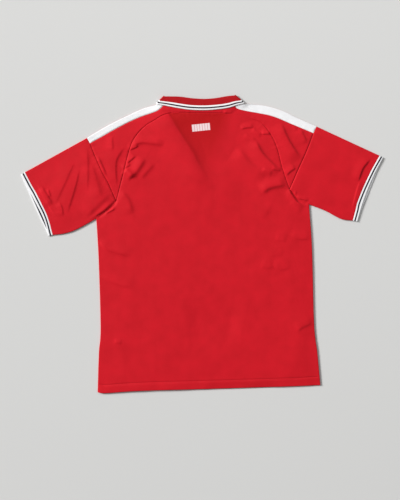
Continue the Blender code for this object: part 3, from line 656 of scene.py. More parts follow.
def seam_dip(plan):
    """At a seam the cloth steps down on one side, where the seam's edges are pressed
    over, and comes back slowly. On the seam there is a small valley, and the thread
    draws short puckers square to it."""
    away, along, step = np.full(len(plan), 1.0), np.zeros(len(plan)), np.zeros(len(plan))
    for place, line in enumerate(SEAM_LINES):
        run = lengths(line)[-1]
        near = np.flatnonzero(near_box(plan, line, 3 * STEP_EAST))
        far, share, side = beside(plan[near], line)
        closer = far < away[near]
        away[near[closer]] = far[closer]
        along[near[closer]] = share[closer] * run + place
        ends = eased(share * run / STEP_END) * eased((1 - share) * run / STEP_END)
        low = np.where(side > 0, np.exp(-far / STEP_EAST), np.exp(-((far / STEP_WEST) ** STEP_BEND)))
        step[near] = np.maximum(step[near], low * ends)
    drawn = [noise.noise(Vector((a / PUCKER_PITCH, f / PUCKER_LENGTH, PUCKER_SEED)))
             for a, f in zip(along, away)]
    pucker = PUCKER * np.array(drawn) * np.exp(-away / PUCKER_REACH)
    cuff = distance(plan, *CUFF_SEAMS)
    valleys = SEAM_DIP * bell(away, SEAM_WIDTH) + CUFF_DIP * bell(cuff, SEAM_WIDTH)
    return pucker - STEP_DOWN * step - valleys


print("a seam dips", round(SEAM_DIP / MM, 2), "mm")

# %% Heights of the hem and the under layer
HEM_STEP, HEM_STEP_WAY = 0.7 * MM, 1.6 * MM
STITCH_DIP, STITCH_WIDTH = 1.1 * MM, 1.2 * MM
FOOT_DROP, FOOT_WAY = 0.6 * MM, 1.1 * MM
HEM_WAVE, HEM_WAVE_SIZE, HEM_WAVE_SEED = 0.7 * MM, 42 * MM, 9.0
WAVE_SQUEEZE, WAVE_END = (1, 2.2), 1.6  # shorter up the body, and gone by 1.6 hem depths
HEM_LEAN, LEAN_FROM, LEAN_WAY = 1.4 * MM, -60 * MM, 120 * MM
FRONT_SHARE, FRONT_FOLD, FRONT_REACH = 0.55, 1.2 * MM, 12 * MM


def hem_form(plan):
    """The turned hem: twice the cloth, a valley at the stitches, a rounded foot and soft
    waves. Its right half leans down."""
    away = distance(plan, HEM_LINE)
    turned = HEM_STEP * (1 - eased((away - HEM_DEPTH) / HEM_STEP_WAY + 0.5))
    valley = STITCH_DIP * bell(away - HEM_DEPTH, STITCH_WIDTH)
    foot = FOOT_DROP * (1 - eased(away / FOOT_WAY))
    waves = HEM_WAVE * ripple(plan * WAVE_SQUEEZE, HEM_WAVE_SIZE, HEM_WAVE_SEED)
    waves *= eased(WAVE_END - away / HEM_DEPTH)
    lean = HEM_LEAN * eased((plan[:, 0] - LEAN_FROM) / LEAN_WAY) * np.clip(1 - away / HEM_DEPTH, 0, 1)
    return turned - valley - foot + waves - lean


def under_form(plan, edge):
    """The under layer's lower face above the table, without the lift at the neck. Its
    folds are a mirrored, softer copy of the upper layer's."""
    soft = np.clip(FRONT_SHARE * fold_heights(plan * (-1, 1), FOLDS), 0, FRONT_FOLD)
    return EDGE_HALF - edge_rise(edge) + soft * eased((edge - ARC) / FRONT_REACH)


def under(plan):
    """Height of the under layer's lower face."""
    return neck_lift(plan) + under_form(plan, distance(plan, *CLOSED_EDGES))


print("the hem is turned over", round(HEM_DEPTH / MM), "mm")

# %% Heights of the upper layer
LOFT, LOFT_REACH = 0.8 * MM, 60 * MM
LOFT_AT_RIM, LOFT_BEYOND, RIM_REACH = 0.7, 0.3, 70 * MM
V_SINK, V_FALL, V_STEP, V_RISE = 2.9 * MM, 36 * MM, 3.0 * MM, 110 * MM
V_EXTRA, V_FOOT, V_FOOT_WAY = 0.3, 125 * MM, 100 * MM
EDGE_REACH = 7 * MM
NECK_HELD, FOLDS_FROM_NECK = 7 * MM, 6 * MM
WAVES = ((0.55 * MM, 62 * MM, 1.0), (0.22 * MM, 23 * MM, 5.0))  # height, size and seed
WAVE_REACH, LIFT_REACH = 25 * MM, 30 * MM
LAYER_GAP = 0.2 * MM


def v_sink(plan):
    """How far the back sinks beyond the left leaf of the V, where the front is open: at
    once at the leaf's fold, then ever more gently, up to well beyond the right leaf."""
    left, _, side = beside(plan, curved(np.array(V_EDGE) * MM))
    right, _, right_side = beside(plan, fold_line(RIGHT_LEAF))
    right = np.where(right_side < 0, right, 0.0)
    sink = V_SINK * (1 + V_EXTRA - V_EXTRA * np.exp(-left / V_STEP) - np.exp(-left / V_FALL))
    tall = eased((plan[:, 1] - V_FOOT) / V_FOOT_WAY)
    return sink * (side > 0) * eased(1 - right / V_RISE) * tall


def upper(plan):
    """Height of the upper layer's upper face."""
    edge, rim, from_neck = distance(plan, *CLOSED_EDGES), distance(plan, *CUFF_RIMS), distance(plan, NECK)
    inner = edge - ARC
    waves = sum(height * ripple(plan, size, seed) for height, size, seed in WAVES)
    loft = LOFT * eased(inner / LOFT_REACH) * (LOFT_AT_RIM + LOFT_BEYOND * eased(rim / RIM_REACH))
    loft += waves * eased(inner / WAVE_REACH)
    free = eased((from_neck - NECK_HELD) / NECK_REACH)
    folds = fold_heights(plan, FOLDS + HOLLOWS) + hem_form(plan)
    folds *= eased((from_neck - NECK_HELD) / FOLDS_FROM_NECK)
    height = EDGE_HALF + edge_rise(edge) + free * (loft - v_sink(plan))
    height += eased(inner / EDGE_REACH) * (folds + seam_dip(plan))
    lowest = np.minimum(under_form(plan, edge) + 2 * CLOTH + LAYER_GAP, EDGE_HALF + edge_rise(edge))
    wide, near = neck_lift(plan, 3 * NECK_REACH), neck_lift(plan)
    return near + (wide - near) * eased(inner / LIFT_REACH) + np.maximum(height, lowest)


print("the back sinks", round((1 + V_EXTRA) * V_SINK / MM, 1), "mm at most in the V")

# %% [markdown]
# ## Nets
#
# A piece of cloth between four lines is a Coons patch: each inner knot is blended
# from the four sides. Next to a closed edge the knots take the steps of the bend.

# %% Making a net
FIRST_COLUMN, LAST_COLUMN = (slice(None), 0), (slice(None), -1)
LAST_ROW = (-1, slice(None))
BEND_SHARE, LEAST_BEND = 0.8, 0.2  # of the room up to the next column, and of the bend


def between(first, last, left, right, rows=None):
    """A net in plan between four lines that meet at their ends (a Coons patch)."""
    share = [lengths(line) / lengths(line)[-1] for line in (first, last, left, right)]
    v = (share[2] + share[3])[:, None] / 2 if rows is None else rows[:, None]
    u = share[0] * (1 - v) + share[1] * v
    u, v = u[..., None], v[..., None]
    ruled = (1 - v) * first + v * last
    turned = (1 - u) * left[:, None] + u * right[:, None]
    corners = (1 - u) * ((1 - v) * first[0] + v * last[0]) + u * ((1 - v) * first[-1] + v * last[-1])
    return ruled + turned - corners


def curl_in(grid, side):
    """Moves the columns next to a closed side to the steps of a bend, or as near to
    them as the next column leaves room."""
    view = grid if side == FIRST_COLUMN else grid[:, ::-1]
    line = view[:, 0].copy()
    inward = miters(line)
    room = (inward * (view[:, len(CURL)] - line)).sum(1)
    inward *= (np.sign(room.mean()) * np.clip(BEND_SHARE * np.abs(room) / ARC, LEAST_BEND, 1))[:, None]
    for step, way in enumerate(CURL):
        view[1:-1, step] = line[1:-1] + inward[1:-1] * way
    return grid


def turned_over(grid):
    """The same net with its rows and columns exchanged."""
    return grid.transpose(1, 0, 2)


def lay(grid, height, closed=()):
    """Gives a net in plan its heights. Its closed sides lie at mid height."""
    rows, columns, _ = grid.shape
    if height is upper:
        grid = gathered(grid)
    tall = height(grid.reshape(-1, 2)).reshape(rows, columns)
    for side in closed:
        tall[side] = middle(grid[side].reshape(-1, 2))
    return np.dstack([grid, tall])


def is_up(grid):
    """Whether a net's faces look up."""
    plan = grid[..., :2]
    along, across = plan[1:, :-1] - plan[:-1, :-1], plan[:-1, 1:] - plan[:-1, :-1]
    return (across[..., 0] * along[..., 1] - across[..., 1] * along[..., 0]).sum() > 0


def facing(grid, upwards):
    """Reverses a net's columns if its faces look the wrong way."""
    return grid if is_up(grid) == upwards else grid[:, ::-1]


print("a bend takes", len(CURL) - 1, "steps of a net")

# %% [markdown]
# ## From a net to a piece of cloth
#
# Each net carries a map, which tells the knit where it is on the cloth, in metres.
# Blender's grid operator makes the faces, the knots are put in place, nets that share
# a border are welded, and Solidify gives the cloth its wall. The edges are drawn in by
# half a seam's gap, so that sewn pieces don't touch.

# %% Maps and pieces
WELD = 0.02 * MM
SHARPEST = 0.4  # keeps a sharp corner of a border from being drawn in too far
PIECES = {}


def plan_uv(grid):
    """The knit runs up the piece, so its map is the plan itself, in metres."""
    return grid[..., :2].copy()


def strip_uv(grid, from_end=False):
    """For a strip: the way along it, and the way across from its first or last edge."""
    step = np.linalg.norm(np.diff(grid, axis=1), axis=2)
    across = np.concatenate([np.zeros((len(grid), 1)), np.cumsum(step, axis=1)], axis=1)
    across = across[:, -1:] - across if from_end else across
    along = lengths(grid[:, grid.shape[1] // 2])
    return np.dstack([np.repeat(along[:, None], grid.shape[1], axis=1), across])


def row_uv(grid):
    """The same for a net whose rows, not its columns, run along the strip."""
    return turned_over(strip_uv(turned_over(grid)))


def new_object(name, mesh):
    """An object in the scene, from a finished bmesh."""
    data = bpy.data.meshes.new(name)
    mesh.to_mesh(data)
    mesh.free()
    made = bpy.data.objects.new(name, data)
    bpy.context.scene.collection.objects.link(made)
    return made


def cloth_mesh(grids, maps, open_lines, gap):
    """One open surface from nets that share their borders."""
    mesh = bmesh.new()
    layer = mesh.loops.layers.uv.new("cloth")
    for grid, uv in zip(grids, maps):
        rows, columns, _ = grid.shape
        made = bmesh.ops.create_grid(mesh, x_segments=columns - 1, y_segments=rows - 1, size=1)
        for knot in made["verts"]:
            column = round((knot.co.x + 1) / 2 * (columns - 1))
            row = round((knot.co.y + 1) / 2 * (rows - 1))
            knot.co = grid[row, column]
            for loop in knot.link_loops:
                loop[layer].uv = uv[row, column]
    bmesh.ops.remove_doubles(mesh, verts=mesh.verts, dist=WELD)
    if gap:
        draw_in(mesh, gap, open_lines)
    return mesh


def draw_in(mesh, amount, open_lines):
    """Moves each point of the border into the surface, square to the border, but for
    edges that lie on an open line."""
    ways = {}
    for edge in mesh.edges:
        if not edge.is_boundary:
            continue
        start, stop = (knot.co.copy() for knot in edge.verts)
        ends = np.array([start[:2], stop[:2]])
        if any(distance(ends, line).max() < WELD for line in open_lines):
            continue
        face = edge.link_faces[0]
        inward = face.normal.cross(stop - start).normalized()
        if inward.dot(face.calc_center_median() - start) < 0:
            inward.negate()
        for knot in edge.verts:
            ways.setdefault(knot, []).append(inward)
    for knot, inward in ways.items():
        total = sum(inward[1:], inward[0])
        share = 1 + inward[0].dot(inward[-1]) if len(inward) > 1 else 1
        knot.co += total * (amount / max(share, SHARPEST))


def add_piece(node, grids, maps, wall, slot, open_lines=(), gap=SEAM_GAP / 2, thick=None):
    """A piece of cloth that stands for its solid: the net and its wall, named after its slot."""
    name = node + ("_rib" if slot == "rib" else "_knit")
    piece = new_object(name, cloth_mesh(grids, maps, open_lines, gap))
    piece.data.shade_smooth()
    solid = piece.modifiers.new("wall", "SOLIDIFY")
    solid.thickness, solid.offset = wall, -1
    if thick:
        group = piece.vertex_groups.new(name="wall")
        plan = np.array([knot.co[:2] for knot in piece.data.vertices])
        for knot, share in enumerate(thick(plan)):
            group.add([knot], float(share), "REPLACE")
        solid.vertex_group = "wall"
    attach(piece, "root")
    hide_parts(node)
    PIECES[node] = piece
    area = sum(face.area for face in piece.data.polygons)
    print(name, len(piece.data.polygons), "faces,", round(area, 4), "square metres")


# %% [markdown]
# ## Body
#
# The front is cut in one with an open V. The back has a lower part from the hem to
# the underarms and an upper part between the raglan seams. Both panels end in a
# turned hem, so their wall nearly doubles there, and thins again at the side seams.

# %% Front and back
THIN_EDGE, THIN_WAY = 2 * MM, 4 * MM


def hem_wall(plan):
    """The wall's share: full where the hem is turned, and the plain cloth elsewhere."""
    hem = 1 - eased((distance(plan, HEM_LINE) - HEM_DEPTH) / MM)
    edge = distance(plan, *(LINES[half]["side"] for half in HALVES))
    plain = CLOTH / HEM_WALL
    return plain + (1 - plain) * hem * eased((edge - THIN_EDGE) / THIN_WAY)


def add_panel(node, grids):
    """A body panel in red knit, with its open hem and its thick turned part."""
    maps = [plan_uv(grid) for grid in grids]
    add_piece(node, grids, maps, HEM_WALL, "red_knit", [HEM_LINE], thick=hem_wall)


def front_panel():
    """Two halves, each a lower net up to the underarm and a top net beside the V."""
    grids = []
    centre = points_of([CENTRE_FOOT])[0]
    hem_middle = points_of([row for row in HEM if row.place == "middle"])[0]
    for half in HALVES:
        lines = LINES[half]
        across = stepped(np.array([lines["front tuck"][-1], centre]), SHOULDER_STEPS, SEWN)
        foot = joined(lines["front tuck"], across)
        hem_points = points_of(HEM[:4] if half == LEFT else HEM[:2:-1])
        hem = seam(hem_points, len(foot) - len(CURL), CURL)
        rise = stepped(np.array([hem_middle, centre]), SIDE_ROWS, HEM_ROWS, SEWN, SIDE_GRADE)
        lower = curl_in(between(hem, foot, lines["side"], rise), FIRST_COLUMN)
        grids.append(lay(lower, under, [FIRST_COLUMN]))
        v_curl = at(np.array([V_SEAM[half][-1], NECK_END[half]]), ARC - CURL[::-1])
        v_path = np.vstack([centre, points_of([V_TIP]), V_SEAM[half]])
        v_line = joined(stepped(v_path, FRONT_ARMHOLE_STEPS), v_curl)
        top = between(across, lines["shoulder"], lines["front armhole"], v_line)
        top = turned_over(curl_in(turned_over(top), LAST_COLUMN))
        grids.append(lay(top, under, [LAST_ROW]))
    add_panel("front_panel", [facing(grid, upwards=False) for grid in grids])


def back_panel():
    """A lower net from side to side and a top net between the raglan seams."""
    left, right = LINES[LEFT], LINES[RIGHT]
    feet = np.array([left["raglan"][0], right["raglan"][0]])
    across = stepped(feet, ARCH_STEPS, SEWN, SEWN)
    foot = joined(left["tuck"], across, right["tuck"][::-1])
    hem = seam(points_of(HEM), len(foot) - 1 - 2 * (len(CURL) - 1), CURL, CURL)
    lower = between(hem, foot, left["side"], right["side"])
    for side in (FIRST_COLUMN, LAST_COLUMN):
        lower = curl_in(lower, side)
    top = between(across, ARCH_LINE, left["raglan"], right["raglan"])
    grids = [lay(lower, upper, [FIRST_COLUMN, LAST_COLUMN]), lay(top, upper)]
    add_panel("back_panel", [facing(grid, upwards=True) for grid in grids])


front_panel()
back_panel()

# %% [markdown]
# ## Yoke and shoulder bands
#
# The yoke fills the space between the raglan seams, the armholes and the neck. A
# white band covers each shoulder seam, from the armhole to under the collar.

# %% Yoke and bands
YOKE_WIDTH = 80 * MM


def shares_of(width, steps):
    """Shares across a piece of this width, with closer steps at both seams."""
    line = np.array([[0.0, 0.0], [width, 0.0]])
    return stepped(line, steps, SEWN, SEWN)[:, 0] / width


def moved(line, towards, amount):
    """A line moved sideways, towards a point."""
    side = miters(line)
    side *= np.sign((side * (towards - line)).sum(1).mean())
    return line + side * amount


def back_yoke():
    """One net from armhole to armhole: the raglan seams and the arch face the rest."""
    left, right = LINES[LEFT], LINES[RIGHT]
    neck = stepped(NECK[LEAF_STEPS:-LEAF_STEPS], NECK_STEPS)
    armholes = [stepped(lines["armhole"], ARMHOLE_STEPS, TIP) for lines in (left, right)]
    outer = joined(armholes[0], left["band seam"], neck, right["band seam"][::-1], armholes[1][::-1])
    inner = stepped(INNER_SEAM, len(outer) - 1, TIP, TIP)
    below, above = np.array([[0.0, 0.0]]), np.array([[0.0, 10.0]])
    inner = moved(inner, above, SEAM_GAP / 2)
    outer = moved(outer, below, SEAM_GAP / 2)
    rows = shares_of(YOKE_WIDTH, YOKE_ROWS)
    ends = [np.array([inner[place], outer[place]]) for place in (0, -1)]
    start, end = (at(line, rows * lengths(line)[-1]) for line in ends)
    grid = facing(lay(between(inner, outer, start, end, rows), upper), upwards=True)
    add_piece("back_yoke", [grid], [plan_uv(grid)], CLOTH, "red_knit", gap=0)


def shoulder_band(half, node):
    """A strip whose outer side is the closed edge of the shoulder."""
    lines = LINES[half]
    grid = between(lines["band end"][::-1], lines["band neck"][::-1], lines["shoulder"], lines["band seam"])
    grid = facing(lay(curl_in(grid, FIRST_COLUMN), upper, [FIRST_COLUMN]), upwards=True)
    add_piece(node, [grid], [row_uv(grid)], CLOTH, "white_band")


back_yoke()
SIDES = {LEFT: "left", RIGHT: "right"}
for half, side in SIDES.items():
    shoulder_band(half, "shoulder_band_" + side)

# %% [markdown]
# ## Sleeves and cuffs
#
# A sleeve is a flattened tube: up the under ply from its lower side, round the folded
# edge and back over the upper ply. The lower side starts as the open underarm seam and
# goes on as a closed edge. The cuff is a short tube of rib on the sleeve's end.

# %% Sleeves and cuffs
PLIES = {"under": under, "upper": upper}


def tube(half, ring, lower_sides, fold, start=0):
    """A flattened tube from one ring to the next, made of its two plies. Its lower side
    is closed from the start row on."""
    closed = [(slice(start, None), 0), LAST_COLUMN]
    laid = []
    for (ply, height), lower in zip(PLIES.items(), lower_sides):
        grid = between(*RINGS[half][ply][ring:ring + 2], lower, fold)
        for side in (FIRST_COLUMN, LAST_COLUMN):
            grid = curl_in(grid, side)
        laid.append(lay(grid, height, closed))
    below, above = laid
    whole = np.concatenate([below, above[:, ::-1][:, 1:]], axis=1)
    return whole if is_up(whole[:, below.shape[1]:]) else whole[:, ::-1]


def sleeve(half, node):
    """From the armhole to the cuff seam."""
    lines = LINES[half]
    lower = [joined(lines[tuck][:0:-1], lines["sleeve lower"]) for tuck in ("front tuck", "tuck")]
    grid = tube(half, 0, lower, lines["sleeve fold"], SLEEVE_START)
    add_piece(node, [grid], [row_uv(grid)], CLOTH, "red_knit")


def cuff(half, node):
    """From the cuff seam to the open rim."""
    grid = tube(half, 1, [LINES[half]["cuff lower"]] * 2, LINES[half]["cuff upper"])
    rims = [RINGS[half][ply][2] for ply in PLIES]
    add_piece(node, [grid], [row_uv(grid)], RIB, "rib", rims)


for half, side in SIDES.items():
    sleeve(half, "sleeve_" + side)
    cuff(half, "cuff_" + side)

# %% [markdown]
# ## Collar
#
# Each section of the collar goes from the seam up the stand, round the fold and down
# the fall. Where the neck turns from the front to the back, the section turns with
# it, through the mid plane of the jersey.

# %% Collar
FOLD_STEPS, SIDE_STEPS, FALL_STEPS = 10, 12, 14
FALL_LOFT, LOFT_SHAPE = 0.7 * MM, 0.8
WAVE_STEPS, WAVE_SEED = 9, 4.0


def collar_section(turn, down, stand, fall, angle, wave):
    """The points of one section, turned by an angle: 90 degrees at the back of the neck
    and -90 degrees on the leaves beneath it."""
    turns = np.linspace(-math.pi / 2, math.pi / 2, FOLD_STEPS + 1)
    centre = STAND_FACE + FOLD_RADIUS
    falls = np.linspace(0, 1, FALL_STEPS + 1)[1:]
    widths = [stand, stand / 2, *(-FOLD_RADIUS * np.cos(turns)), *(fall * falls)]
    loft = FALL_LOFT * np.sin(math.pi * falls) ** LOFT_SHAPE * max(math.sin(angle), 0.0) * (1 + wave)
    offsets = [STAND_FACE] * 2 + [*(centre + FOLD_RADIUS * np.sin(turns))] + [*(FALL_FACE + loft)]
    out = np.array([-down[1], down[0]]) * math.copysign(math.cos(angle), down[0])
    section = []
    for width, offset in zip(widths, offsets):
        x, y = turn + down * width + out * offset
        section.append((x, y, FALL_FACE + offset * math.sin(angle)))
    return section


def collar():
    """One net of all the sections, from the left leaf round the back to the right."""
    left, back, right = (
        list(zip(*collar_sections(rows))) for rows in (LEFT_LEAF, BACK_NECK, RIGHT_LEAF)
    )
    turns = np.linspace(-math.pi / 2, math.pi / 2, SIDE_STEPS + 1)
    sections = [(*section, turns[0]) for section in left]
    sections += [(*back[0], angle) for angle in turns[1:-1]]
    back_start = len(sections)
    sections += [(*section, turns[-1]) for section in back]
    sections += [(*back[-1], angle) for angle in turns[-2:0:-1]]
    sections += [(*section, turns[0]) for section in right]
    waves = [noise.noise(Vector((place / WAVE_STEPS, WAVE_SEED, 0.0))) for place in range(len(sections))]
    grid = np.array([collar_section(*section, wave) for section, wave in zip(sections, waves)])
    uv = strip_uv(grid, from_end=True)
    if not is_up(grid[back_start:back_start + len(back), -3:]):
        grid, uv = grid[:, ::-1], uv[:, ::-1]
    add_piece("collar", [grid], [uv], RIB, "rib")


collar()

# %% [markdown]
# ## Hem stitches
#
# A twin needle sews the hem and leaves two rows of short stitches on the outside.
# Each stitch is a small bead of a dozen faces, stretched and laid along the seam.

# %% Hem stitches
STITCH_PITCH, STITCH_LENGTH, STITCH_HALF = 3.0 * MM, 2.3 * MM, 0.22 * MM
STITCH_PROUD, STITCH_TALL, ROW_END = 0.05 * MM, 0.16 * MM, 8 * MM
NEEDLE_ROWS = (HEM_DEPTH - 1.8 * MM, HEM_DEPTH + 1.8 * MM)


def hem_stitches(name, height, face):
    """Both needle rows of a panel, on its face at this height, which looks up or down."""
    mesh = bmesh.new()
    for off in NEEDLE_ROWS:
        row = HEM_LINE + miters(HEM_LINE) * off
        ways = np.arange(ROW_END, lengths(row)[-1] - ROW_END, STITCH_PITCH)
        places = at(row, ways)
        ahead = at(row, ways + MM) - places
        for (x, y), (dx, dy), z in zip(places, ahead, height(places)):
            made = bmesh.ops.create_uvsphere(mesh, u_segments=4, v_segments=3, radius=1)
            heading = math.atan2(dy, dx)
            for knot in made["verts"]:
                along, across = knot.co.x * STITCH_LENGTH / 2, knot.co.y * STITCH_HALF
                knot.co = (x + along * math.cos(heading) - across * math.sin(heading),
                           y + along * math.sin(heading) + across * math.cos(heading),
                           z + face * STITCH_PROUD + knot.co.z * STITCH_TALL)
    piece = new_object(name, mesh)
    piece.data.shade_smooth()
    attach(piece, "root")
    print(name, len(piece.data.polygons), "faces")
    return piece


STITCHES = {
    "back_panel": hem_stitches("hem_stitches_back", upper, 1),
    "front_panel": hem_stitches("hem_stitches_front", under, -1),
}

# %% [markdown]
# ## Shader sums
#
# A pattern is easier to read as a sum than as a web of nodes. One small class wraps a
# socket, and the usual signs add Math nodes.

# %% Sums on sockets
class Signal:
    """A socket of a node tree that can stand in a sum."""

    def __init__(self, tree, socket=None):
        self.tree, self.socket = tree, socket

    def feed(self, node, inputs):
        """Sets a node's sockets to values, or links them to signals."""
        for name, value in dict(inputs).items():
            if isinstance(value, Signal):
                self.tree.links.new(value.socket, node.inputs[name])
            else:
                node.inputs[name].default_value = value

    def node(self, kind, inputs=(), output=0, **settings):
        """A new node with its settings and inputs, as the signal of one output."""
        made = self.tree.nodes.new(kind)
        for name, value in settings.items():
            setattr(made, name, value)
        self.feed(made, inputs)
        return Signal(self.tree, made.outputs[output])

    def math(self, operation, *others):
        """A Math node that starts with this socket."""
        return self.node("ShaderNodeMath", enumerate((self, *others)), operation=operation)

    __add__ = __radd__ = partialmethod(math, "ADD")
    __mul__ = __rmul__ = partialmethod(math, "MULTIPLY")
    __sub__ = partialmethod(math, "SUBTRACT")
    __truediv__ = partialmethod(math, "DIVIDE")
    __pow__ = partialmethod(math, "POWER")
    __abs__ = partialmethod(math, "ABSOLUTE")
    sine = partialmethod(math, "SINE")

    def __rsub__(self, other):
        return self.node("ShaderNodeMath", {0: other, 1: self}, operation="SUBTRACT")

    def clamped(self):
        return self.node("ShaderNodeClamp", {"Value": self})

    def ramp(self, start, width):
        """0 below a value and 1 above it, over a width centred on it."""
        return ((self - start) / width + 0.5).clamped()

    def band(self, low, high, soft):
        """1 between two values and 0 outside, with soft edges."""
        return self.ramp(low, soft) * ((high - self) / soft + 0.5).clamped()

    def mixed(self, first, second):
        """The first colour where this is 0 and the second where it is 1."""
        sockets = {"Factor": self, 6: first, 7: second}
        return self.node("ShaderNodeMix", sockets, output=2, data_type="RGBA")

    def split(self):
        """The first two numbers of a place: the way along and the way across."""
        along = self.node("ShaderNodeSeparateXYZ", {0: self})
        return along, Signal(self.tree, along.socket.node.outputs[1])

    def cloud(self, scale):
        """Soft noise over a place."""
        return self.node("ShaderNodeTexNoise", {"Vector": self, "Scale": scale}, output="Fac")

    def relief(self, depth):
        """The way a surface faces when it is raised by this height, in parts of a depth."""
        return self.node("ShaderNodeBump", {"Height": self, "Distance": depth, "Strength": 1.0})


def new_finish(name, constants):
    """A material, its shader and its tree. What is the same all over is set at once."""
    material = bpy.data.materials.new(name)
    material.use_nodes = True
    shader, tree = material.node_tree.nodes["Principled BSDF"], Signal(material.node_tree)
    tree.feed(shader, constants)
    return material, shader, tree


# %% [markdown]
# ## Finishes
#
# Polyester interlock shows fine wales: columns of stitches that lean left and right by turns. The red is
# deep and even. Its colour is painted a shade darker between the wales, as shade in the furrows, with a
# faint cloudiness from handling. Rib is coarser, its colour is painted darker in its furrows too, and its
# stripes are knitted in. Over the open neck of the front, the back is painted darker, as shade.

# %% Knit
RED, RED_TONE_AND_RECESS_SHADE = (0.62, 0.0048, 0.0150, 1), (0.47, 0.0028, 0.009, 1)
PAINTED_NECK_SHADE_RED = (0.43, 0.0006, 0.003, 1)
WHITE, WHITE_TONE_AND_RECESS_SHADE = (0.88, 0.88, 0.885, 1), (0.70, 0.70, 0.72, 1)
PRINT = (0.80, 0.62, 0.64, 1)
WALE, COURSE = 1.15 * MM, 0.95 * MM
TAU = 2 * math.pi
STITCH_LEAN = 2.4
KNIT_DEPTH, KNIT_SHEEN, KNIT_CLOUD = 0.11 * MM, 0.12, 28.0
MATT = {"Specular IOR Level": 0.14, "Sheen Roughness": 0.45}
# The painted shade over the open neck, on the map: along the left leaf, towards the right, and from the
# tip.
LEAF_X, LEAF_Y, LEAF_SLOPE, LEAF_SOFT = 29 * MM, 138 * MM, 0.605, 5 * MM
FADE_X, FADE_Y, FADE_SLOPE, FADE_SOFT = 40 * MM, 244 * MM, 0.32, 34 * MM
TIP_Y, TIP_SOFT = 150 * MM, 150 * MM
# The patch at the nape: its move to the middle of the map, its turn and its size.
PATCH_MOVE, PATCH_TURN = (2.1 * MM, -287.5 * MM, 0), math.radians(-5.9)
PATCH_HALF_WIDE, PATCH_HALF_TALL, PATCH_SOFT = 22.5 * MM, 8.6 * MM, 0.3 * MM
BAR_PITCH, BAR_EDGE = 6.43 * MM, 3.0


def cloth_place(tree):
    """The place on a piece's own map."""
    return tree.node("ShaderNodeUVMap", output="UV", uv_map="cloth")


def stitches_of(along, across):
    """Columns of leaning stitches, between 0 and 1."""
    column = abs((along * (math.pi / WALE)).sine())
    stitch = (across * (TAU / COURSE) + column * STITCH_LEAN).sine()
    return column * 0.65 + stitch * 0.17 + 0.17


def painted_neck_shade(place):
    """Painted shade where no front lies behind the back: the knit is coloured darker there, at once beyond
    the left leaf of the V, and less and less towards the right and the tip."""
    x, y = place.split()
    beyond_left = (x + (y - LEAF_Y) * LEAF_SLOPE).ramp(LEAF_X, LEAF_SOFT)
    before_right = ((y - FADE_Y) * FADE_SLOPE + FADE_X).ramp(x, FADE_SOFT)
    return beyond_left * before_right * ((y - TIP_Y) / TIP_SOFT).clamped()


def nape_bars(place):
    """A plain heat-pressed patch of short bars below the collar."""
    centred = place.node("ShaderNodeMapping", {"Vector": place, "Location": PATCH_MOVE})
    turned = place.node("ShaderNodeVectorRotate", {"Vector": centred, "Angle": PATCH_TURN},
                        rotation_type="Z_AXIS")
    along, across = turned.split()
    field = along.band(-PATCH_HALF_WIDE, PATCH_HALF_WIDE, PATCH_SOFT)
    field *= across.band(-PATCH_HALF_TALL, PATCH_HALF_TALL, PATCH_SOFT)
    bars = ((along / BAR_PITCH + 0.5) * math.pi).sine()
    return field * (abs(bars) * BAR_EDGE).clamped()


def jersey_knit(name, light, shade_and_tone, printed_and_shaded=False):
    """Interlock in a colour, painted darker between the wales where shade falls, and darker at random. The
    printed one has the nape's patch and painted shade over the open neck.
    """
    material, shader, tree = new_finish(name, {**MATT, "Sheen Weight": KNIT_SHEEN})
    place = cloth_place(tree)
    stitches, cloud = stitches_of(*place.split()), place.cloud(KNIT_CLOUD)
    # Painted shade: the colour is darker where the stitch relief is low, between the wales; the cloud adds
    # a random tone.
    colour = (stitches * 0.6 + cloud * 0.9 - 0.25).clamped().mixed(shade_and_tone, light)
    if printed_and_shaded:
        # Painted shade: the back is coloured darker where the front's neck is open beneath it.
        colour = painted_neck_shade(place).mixed(colour, PAINTED_NECK_SHADE_RED)
        colour = nape_bars(place).mixed(colour, PRINT)
    tree.feed(shader, {"Base Color": colour, "Roughness": 0.52 + cloud * 0.2,
                       "Normal": stitches.relief(KNIT_DEPTH)})
    return material


red_knit = jersey_knit("red interlock knit", RED, RED_TONE_AND_RECESS_SHADE)
printed_and_shaded_knit = jersey_knit("red interlock knit with a plain patch", RED, RED_TONE_AND_RECESS_SHADE, printed_and_shaded=True)
white_knit = jersey_knit("white interlock knit", WHITE, WHITE_TONE_AND_RECESS_SHADE)
print("the printed knit takes", len(printed_and_shaded_knit.node_tree.nodes), "nodes")

# %% Rib and thread
RIB_RED, RIB_RED_FURROW_SHADE = (0.45, 0.004, 0.009, 1), (0.29, 0.002, 0.004, 1)
INK = (0.012, 0.013, 0.022, 1)
THREAD_RED = (0.42, 0.006, 0.012, 1)
RIB_WALE, RIB_DEPTH, RIB_SHEEN, RIB_CLOUD = 1.9 * MM, 0.2 * MM, 0.03, 40.0
RIDGE_SHAPE = 0.6  # below 1, it makes the ribs broad and the furrows narrow
STRIPE_SOFT = 0.45 * MM
THREAD_SHEEN, THREAD_ROUGHNESS, THREAD_GRAIN, THREAD_SHADE = 0.2, 0.5, 900.0, 0.8
Stripe = namedtuple("Stripe", "low high colour")  # ways across the rib, in millimetres
COLLAR_STRIPES = (Stripe(-1, 4.0, WHITE), Stripe(4.0, 7.6, INK), Stripe(7.6, 11.4, WHITE))
CUFF_STRIPES = (Stripe(3.5, 7.3, INK),)


